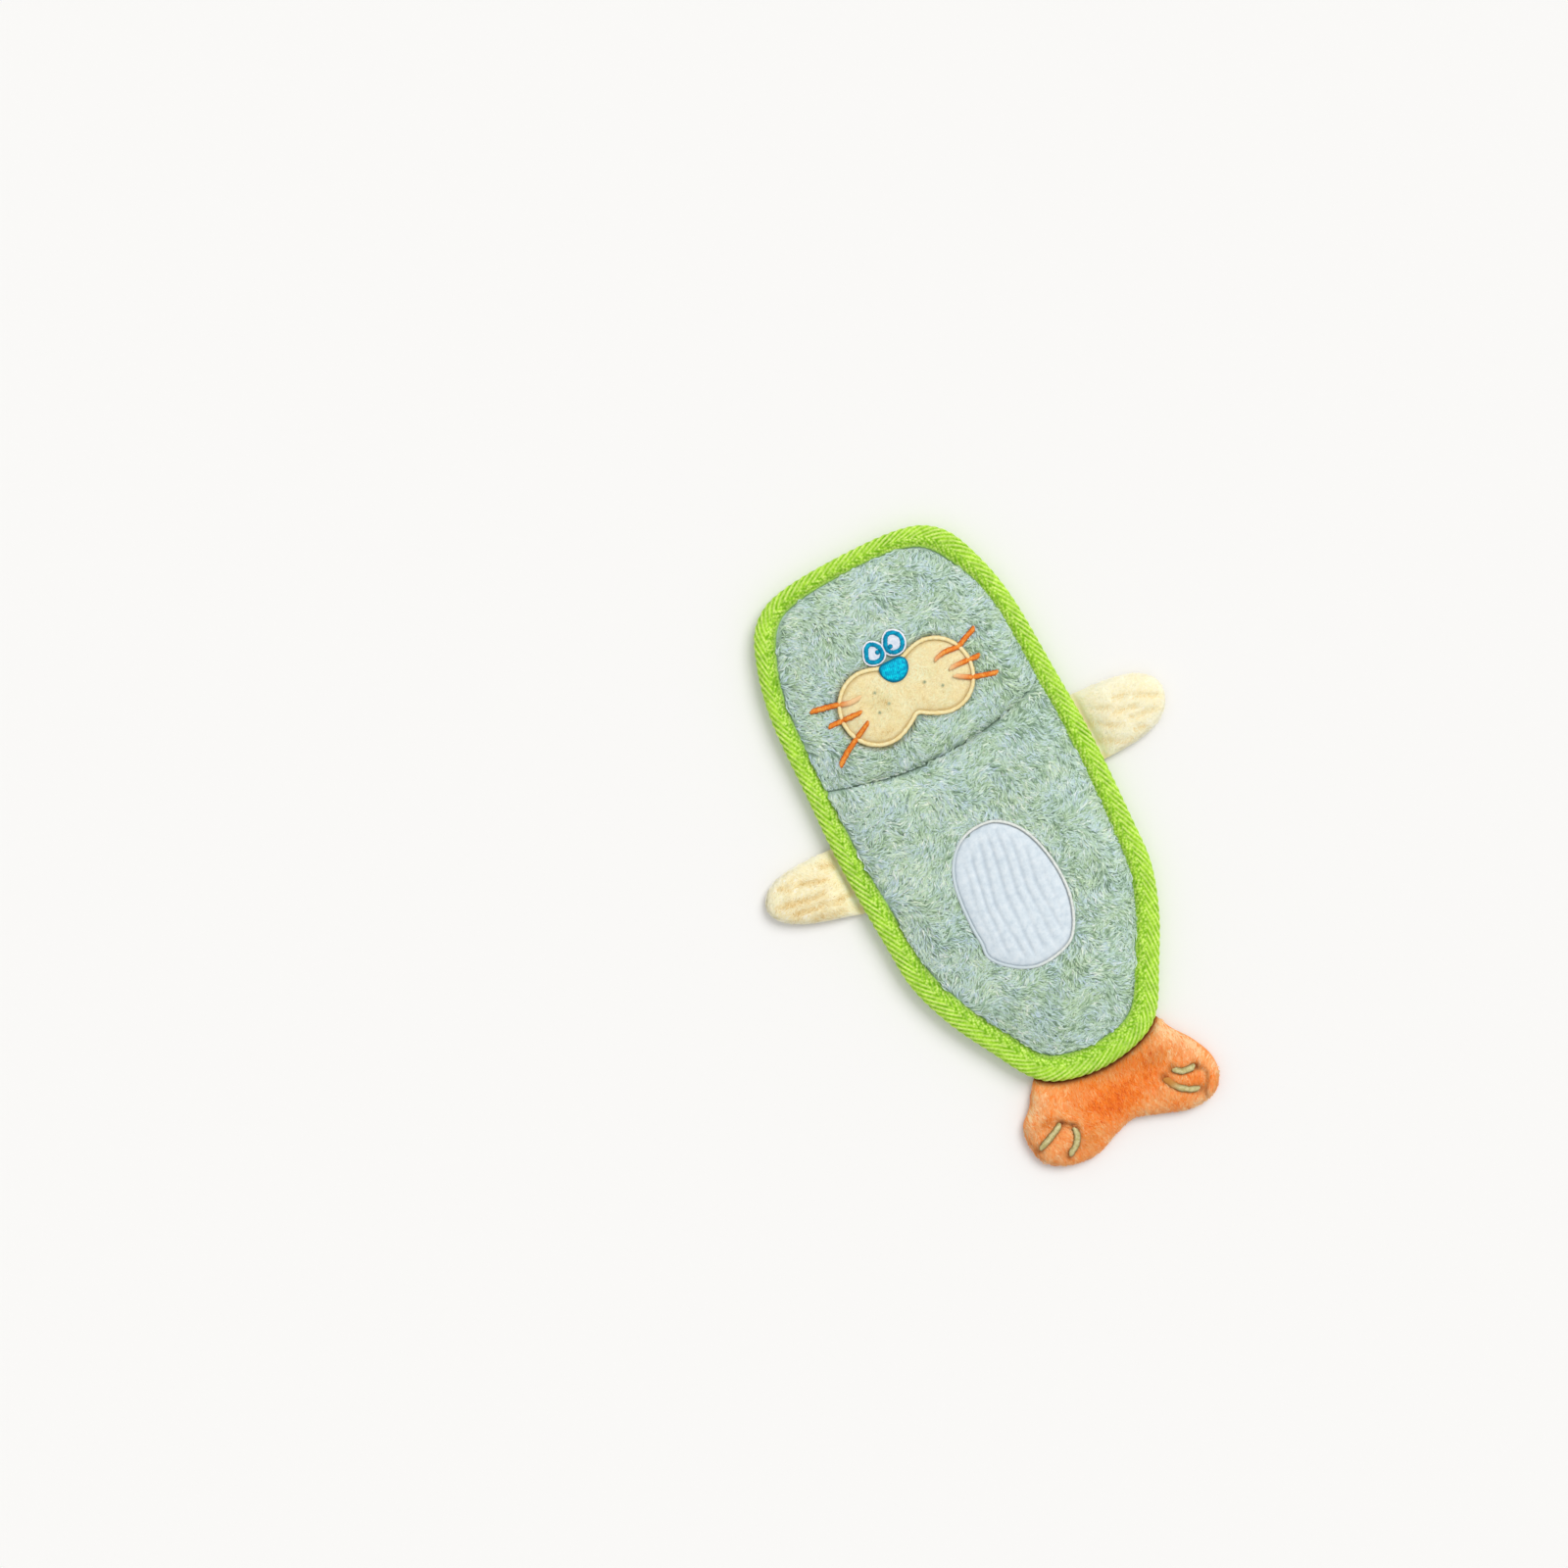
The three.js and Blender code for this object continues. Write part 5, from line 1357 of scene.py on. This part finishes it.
def makeBinding():
    halfThick = tape["halfThick"]
    oneSide, firstShown, firstRibbed = tapeSteps()
    steps = len(oneSide)
    angles = np.radians([68, 45, 22, 0, -22, -45, -68])
    turns = len(angles)
    total = steps * 2 + turns
    around = lambda top, turn, sign=1: np.concatenate([top, turn, sign * top[::-1]])
    share = around(oneSide[:, 0], np.zeros(turns))
    offset = around(oneSide[:, 1], tape["nose"] * (1 - np.cos(angles)))
    up = around(np.ones(steps), np.sin(angles), -1)
    outward = around(np.zeros(steps), np.cos(angles))
    fromEnd = np.minimum(np.arange(total), np.arange(total)[::-1])
    turned = fromEnd < firstRibbed

    ribs = round(rimLength / tape["pitch"])
    rows = ribs * tape["perRib"]
    s = (np.arange(rows) * rimLength / rows)[:, None]
    width = tapeWidth(*rimAt(s[:, 0]).T)[:, None]
    depth = share * width + offset
    along = np.hypot(np.diff(depth), tape["rimSlip"] * np.diff(halfThick * up))
    runs = np.where(turned[1:], -1, 1) * tape["shear"] * along
    shift = np.concatenate([np.zeros((rows, 1)), np.cumsum(runs, axis=1)], 1)
    place = s + shift - shift[:, steps + turns // 2, None]
    spot = rimAt(place)
    width = tapeWidth(spot[..., 0], spot[..., 1])
    depth = share * width + offset
    fromInner = width - depth

    pressed, reach = tape["press"]
    crown = tape["crown"] * np.sin(math.pi * np.clip(fromInner / width * 1.15, 0, 1))
    crown = crown - pressed * bell(fromInner, reach)
    under = np.interp(fromEnd, [0, 1, 2, 3, 4], [-0.95, -0.95, -0.55, -0.15, 0])
    flat = np.where(np.abs(up) == 1, 1, 0)
    phase = (np.arange(rows) % tape["perRib"]) / tape["perRib"]
    wobble = 0.12 * (softNoise(place / 5, place * 0, 1, 73) - 0.5)
    strong = 0.3 + 0.75 * softNoise(place / 6, depth / 2.2, 1, 74)
    ridge = 0.5 - 0.5 * strong * np.cos(2 * math.pi * (phase[:, None] + wobble))
    relief = np.where(fromEnd < firstShown - 1, 0, np.where(turned, tape["innerHeight"], tape["ribHeight"]))
    number = np.round(place / tape["stitchPitch"]).astype(int)
    strength = np.random.default_rng(72).random(400)[number % 400] ** 2
    besides, beyond = place - number * tape["stitchPitch"], fromInner - tape["stitchIn"]
    hole = strength * bell(besides, tape["holeWidth"]) * bell(beyond, tape["holeWidth"]) * (up > 0)
    ripple = (softNoise(place / 11, place * 0, 1, 71) - 0.5) * tape["ripple"] * np.clip(depth / 4, 0, 1)
    seamLine = bell(beyond, tape["lineWidth"]) * (up > 0)
    lift = relief * (ridge - 0.6) - tape["holeDepth"] * hole - tape["lineDepth"] * seamLine
    points = np.dstack([
        rimAt(place, depth - lift * outward),
        pad["edgeZ"] + halfThick * up + (flat * (crown + under) + lift + ripple * flat) * up,
    ])
    values = {
        "rib": ridge,
        "inner": turned * np.ones((rows, 1)) * (fromInner > 0.1),
        "selvedge": smoothStep(1.0, 0.5, fromInner),
        "hole": np.maximum(hole, np.where(spot[..., 0] < 0, 0.35, 0.12) * seamLine),
    }
    faces = [gridFaces(rows, total, joined=True)]
    piece = meshPiece("edge_binding", points.reshape(-1, 3), faces, limeTwill, values)
    assign(piece, ["head_binding", "belly_binding"], fold="head")
    print("binding made")


makeBinding()

# Face pieces

# The muzzle is a little darker in its well beside the border, mostly at the top and the bottom.
def muzzleShade(x, y):
    _, my = face["muzzleMiddle"]
    return (0.15 + 0.25 * smoothStep(7, 12, np.abs(y - my))) * bell(muzzleDepth(x, y) - 1.1, 0.7)


def underPatch(x, y):
    return frontCloth(x, y) - 0.1


muzzle = pillow("muzzle_applique", muzzleRim, face["muzzleMiddle"], rimShares, muzzleTop, underPatch,
                muzzleCloth, muzzleShade)
assign(muzzle, ["muzzle_patch"], body="head")

muzzleBare = [spread(noseRim, 0.5)] + [circleLoop(fromMuzzle(p), 0.8) for p in face["dots"].values()]


def muzzleFits(x, y):
    clear = (muzzleDepth(x, y) > 1.2) & ~nearWhisker(x, y, 0.8)
    for loop in muzzleBare:
        clear &= ~insideLoop(loop, x, y)
    return clear


muzzleNap = dict(seed=33, perTuft=6, drift=10, swirl=2.5, heading=-1.6, scatter=0.6, patch=5, contrast=0.5,
                 fleck=0.05, strand=0.1, curl=0.1, reach=1.4, spread=0.42, lift=0.36, width=0.3, rootShade=0.8,
                 shadow=False, shade=muzzleShade, tint=lambda x, y: softSpots(face["toneSpots"], x, y))
spots = tuftSpots((-34, 56), (32, 93), 1.0, muzzleFits, 34)
nap = growPile("muzzle_pile", muzzleNap, spots, muzzleTop, muzzleFits, muzzlePile)
assign(nap, body="head")

borderStyle = dict(width=2.05, height=1.0, pitch=0.55, slant=0.35, lift=0.75, edgeFade=3)
border = satinCord("muzzle_satin_border", muzzleLoop(0.2), borderStyle, frontCloth, muzzleSatin, closed=True)
assign(border, ["muzzle_border"], body="head")

groundStyle = dict(heading=0, pitch=0.45, height=0.3, lift=0.85, rim=0.6)
ringStyle = dict(width=2.0, height=0.85, pitch=0.42, slant=0.3, lift=0.85)
pupilStyle = dict(heading=90, pitch=0.4, height=0.55, lift=1.0)
for word in ("left", "right"):
    loop = eyeLoops[word]
    ground = satinFill(word + "_eye_ground", spread(loop, face["groundGrow"]), groundStyle, onFace, groundSatin)
    assign(ground, [word + "_eye_white"], body="head")
    ring = satinCord(word + "_eye_satin", loop, ringStyle, onFace, blueSatin, closed=True)
    assign(ring, [word + "_eye_ring"], body="head")
    spot = circleLoop(face[word + "Pupil"], face["pupil"], 40)
    pupil = satinFill(word + "_pupil_satin", spot, pupilStyle, onFace, blueSatin)
    assign(pupil, [word + "_pupil"], body="head")

noseStyle = dict(heading=-12, pitch=0.8, height=1.35, lift=1.75, rim=1.15)
nose = satinFill("nose_satin_fill", noseRim, noseStyle, frontCloth, noseSatin)
assign(nose, ["nose"], body="head")

whiskerStyle = dict(width=2.35, height=0.95, pitch=0.75, slant=0.5, lift=0.6, edgeFade=2,
                    taper=lambda share: 1 - 0.2 * smoothStep(0.7, 1.0, share))
for name, path in whiskerPaths.items():
    span = face["thinned"].get(name, (0.9, 1.4))
    style = dict(whiskerStyle, seed=len(name), thinned=lambda share: smoothStep(*span, share))
    assign(satinCord(name + "_satin", path, style, onFace, orangeSatin), [name], body="head")

dotStyle = dict(heading=30, pitch=0.4, height=0.4, lift=-0.05, rim=0.55)
for name, share in face["dots"].items():
    loop = circleLoop(fromMuzzle(share), face["dot"], 40)
    dot = satinFill(name + "_stitch", loop, dotStyle, muzzleTop, dotThread)
    assign(dot, [name], body="head")
print("face made")

# Belly patch

fineShares = [0.01] + [k / 60 for k in range(2, 52)]
fineShares += [0.875, 0.895, 0.912, 0.93, 0.945, 0.96, 0.972, 0.983, 0.992, 1.0]
oval = pillow("belly_patch_velour", patchRim, patch["middle"], fineShares, patchTop, underPatch, patchCloth,
              lambda x, y: patch["ribShade"] * patchGroove(x, y) ** 1.5)
assign(oval, ["belly_patch"], body="belly")

# The hem's stitches sink into the velour on the left.
hemStyle = dict(width=1.35, height=0.8, pitch=0.5, slant=0.3, lift=0.65,
                thinned=lambda share: 0.85 * smoothStep(0.46, 0.58, share) * smoothStep(0.98, 0.9, share))
hem = satinCord("belly_patch_hem", patchLoop(0.25), hemStyle, frontCloth, patchSatin, closed=True)
assign(hem, ["belly_patch_border"], body="belly")
print("patch made")

# Limbs

makeFlipper("left")
makeFlipper("right")

toeEnds = [path[end] for path in toePaths.values() for end in (0, -1)]


def tailTint(x, y):
    return 0.22 * np.exp(-tailDepth(x, y) / 2.5) + softSpots(tail["toneSpots"], x, y)


# Painted shade of the binding, which is deepest in the middle, round the toe stitches and at their puckered
# ends, and in the creases; and a few soft brown spots.
def tailShade(x, y):
    past = np.clip(pastBinding(x, y), 0, None)
    shade = 0.95 * bell(past, 1.5) + 0.24 * np.exp(-past / 3.5) * bell(x, 22) + softSpots(tail["browned"], x, y)
    shade += sum(0.22 * bell(distanceTo(path, x, y) - 1.1, 0.9) for path in toePaths.values())
    shade += sum(0.34 * bell(np.hypot(x - cx, y - cy), 2) for cx, cy in toeEnds)
    return shade + sum(0.5 * bell(distanceTo(path, x, y), 0.9) for path in tailCreases)


tailCover = pillow("tail_cover", tailRim, tail["middle"], rimShares, tailTop, tailLow, tailCloth, tailShade)
assign(tailCover, ["tail_front", "tail_back", "tail_tab"], fold="tail")

inner = spread(tailRim, 3)
inner[:, 1] = np.minimum(inner[:, 1], -112)
tailBatting = pillow("tail_batting", inner, tail["middle"], rimShares, lambda x, y: tailTop(x, y) - 1.2,
                     lambda x, y: tailLow(x, y) + 0.8, battingFibre)
assign(tailBatting, ["tail_filling"], body="tail")

tailNap = dict(seed=65, perTuft=6, drift=16, swirl=0.9, heading=-1.57, scatter=0.3, patch=5, contrast=0.46,
               fleck=0.07, strand=0.12, curl=0.1, reach=3.0, spread=0.5, lift=0.5, width=0.46, rootShade=0.75,
               overhang=0.7, shadow=False, tint=tailTint, shade=tailShade)


def tailBackFits(x, y):
    return (tailDepth(x, y) > 0.25) & (pastBinding(x, y) > 0.6)


def tailFits(x, y):
    clear = tailBackFits(x, y)
    for path in toePaths.values():
        clear &= distanceTo(path, x, y) > 0.95
    return clear


def tailTips(x, y):
    return tailDepth(x, y) > -tailNap["overhang"]


tailBackNap = dict(tailNap, lift=0.45, shade=lambda x, y: 0 * x)
for name, style, fits, base, side in (("tail_front_pile", tailNap, tailFits, tailTop, 1),
                                      ("tail_back_pile", tailBackNap, tailBackFits, tailLow, -1)):
    spots = tuftSpots((-46, -140), (46, -92), 1.15, fits, 66)
    fur = growPile(name, style, spots, base, fits, tailPile, side, tailTips)
    assign(fur, fold="tail")

toeStyle = dict(width=2.9, height=1.2, pitch=0.55, slant=0.4, lift=0.4, edgeFade=2)
for name, shares in tail["toes"].items():
    style = dict(toeStyle, seed=len(name))
    if name == "right_inner_toe":
        style["thinned"] = lambda share: smoothStep(0.55, 0.15, share)
    cord = satinCord(name + "_satin", toePath(shares, 40), style, tailTop, toeThread)
    assign(cord, [name], body="tail")
print("limbs made")
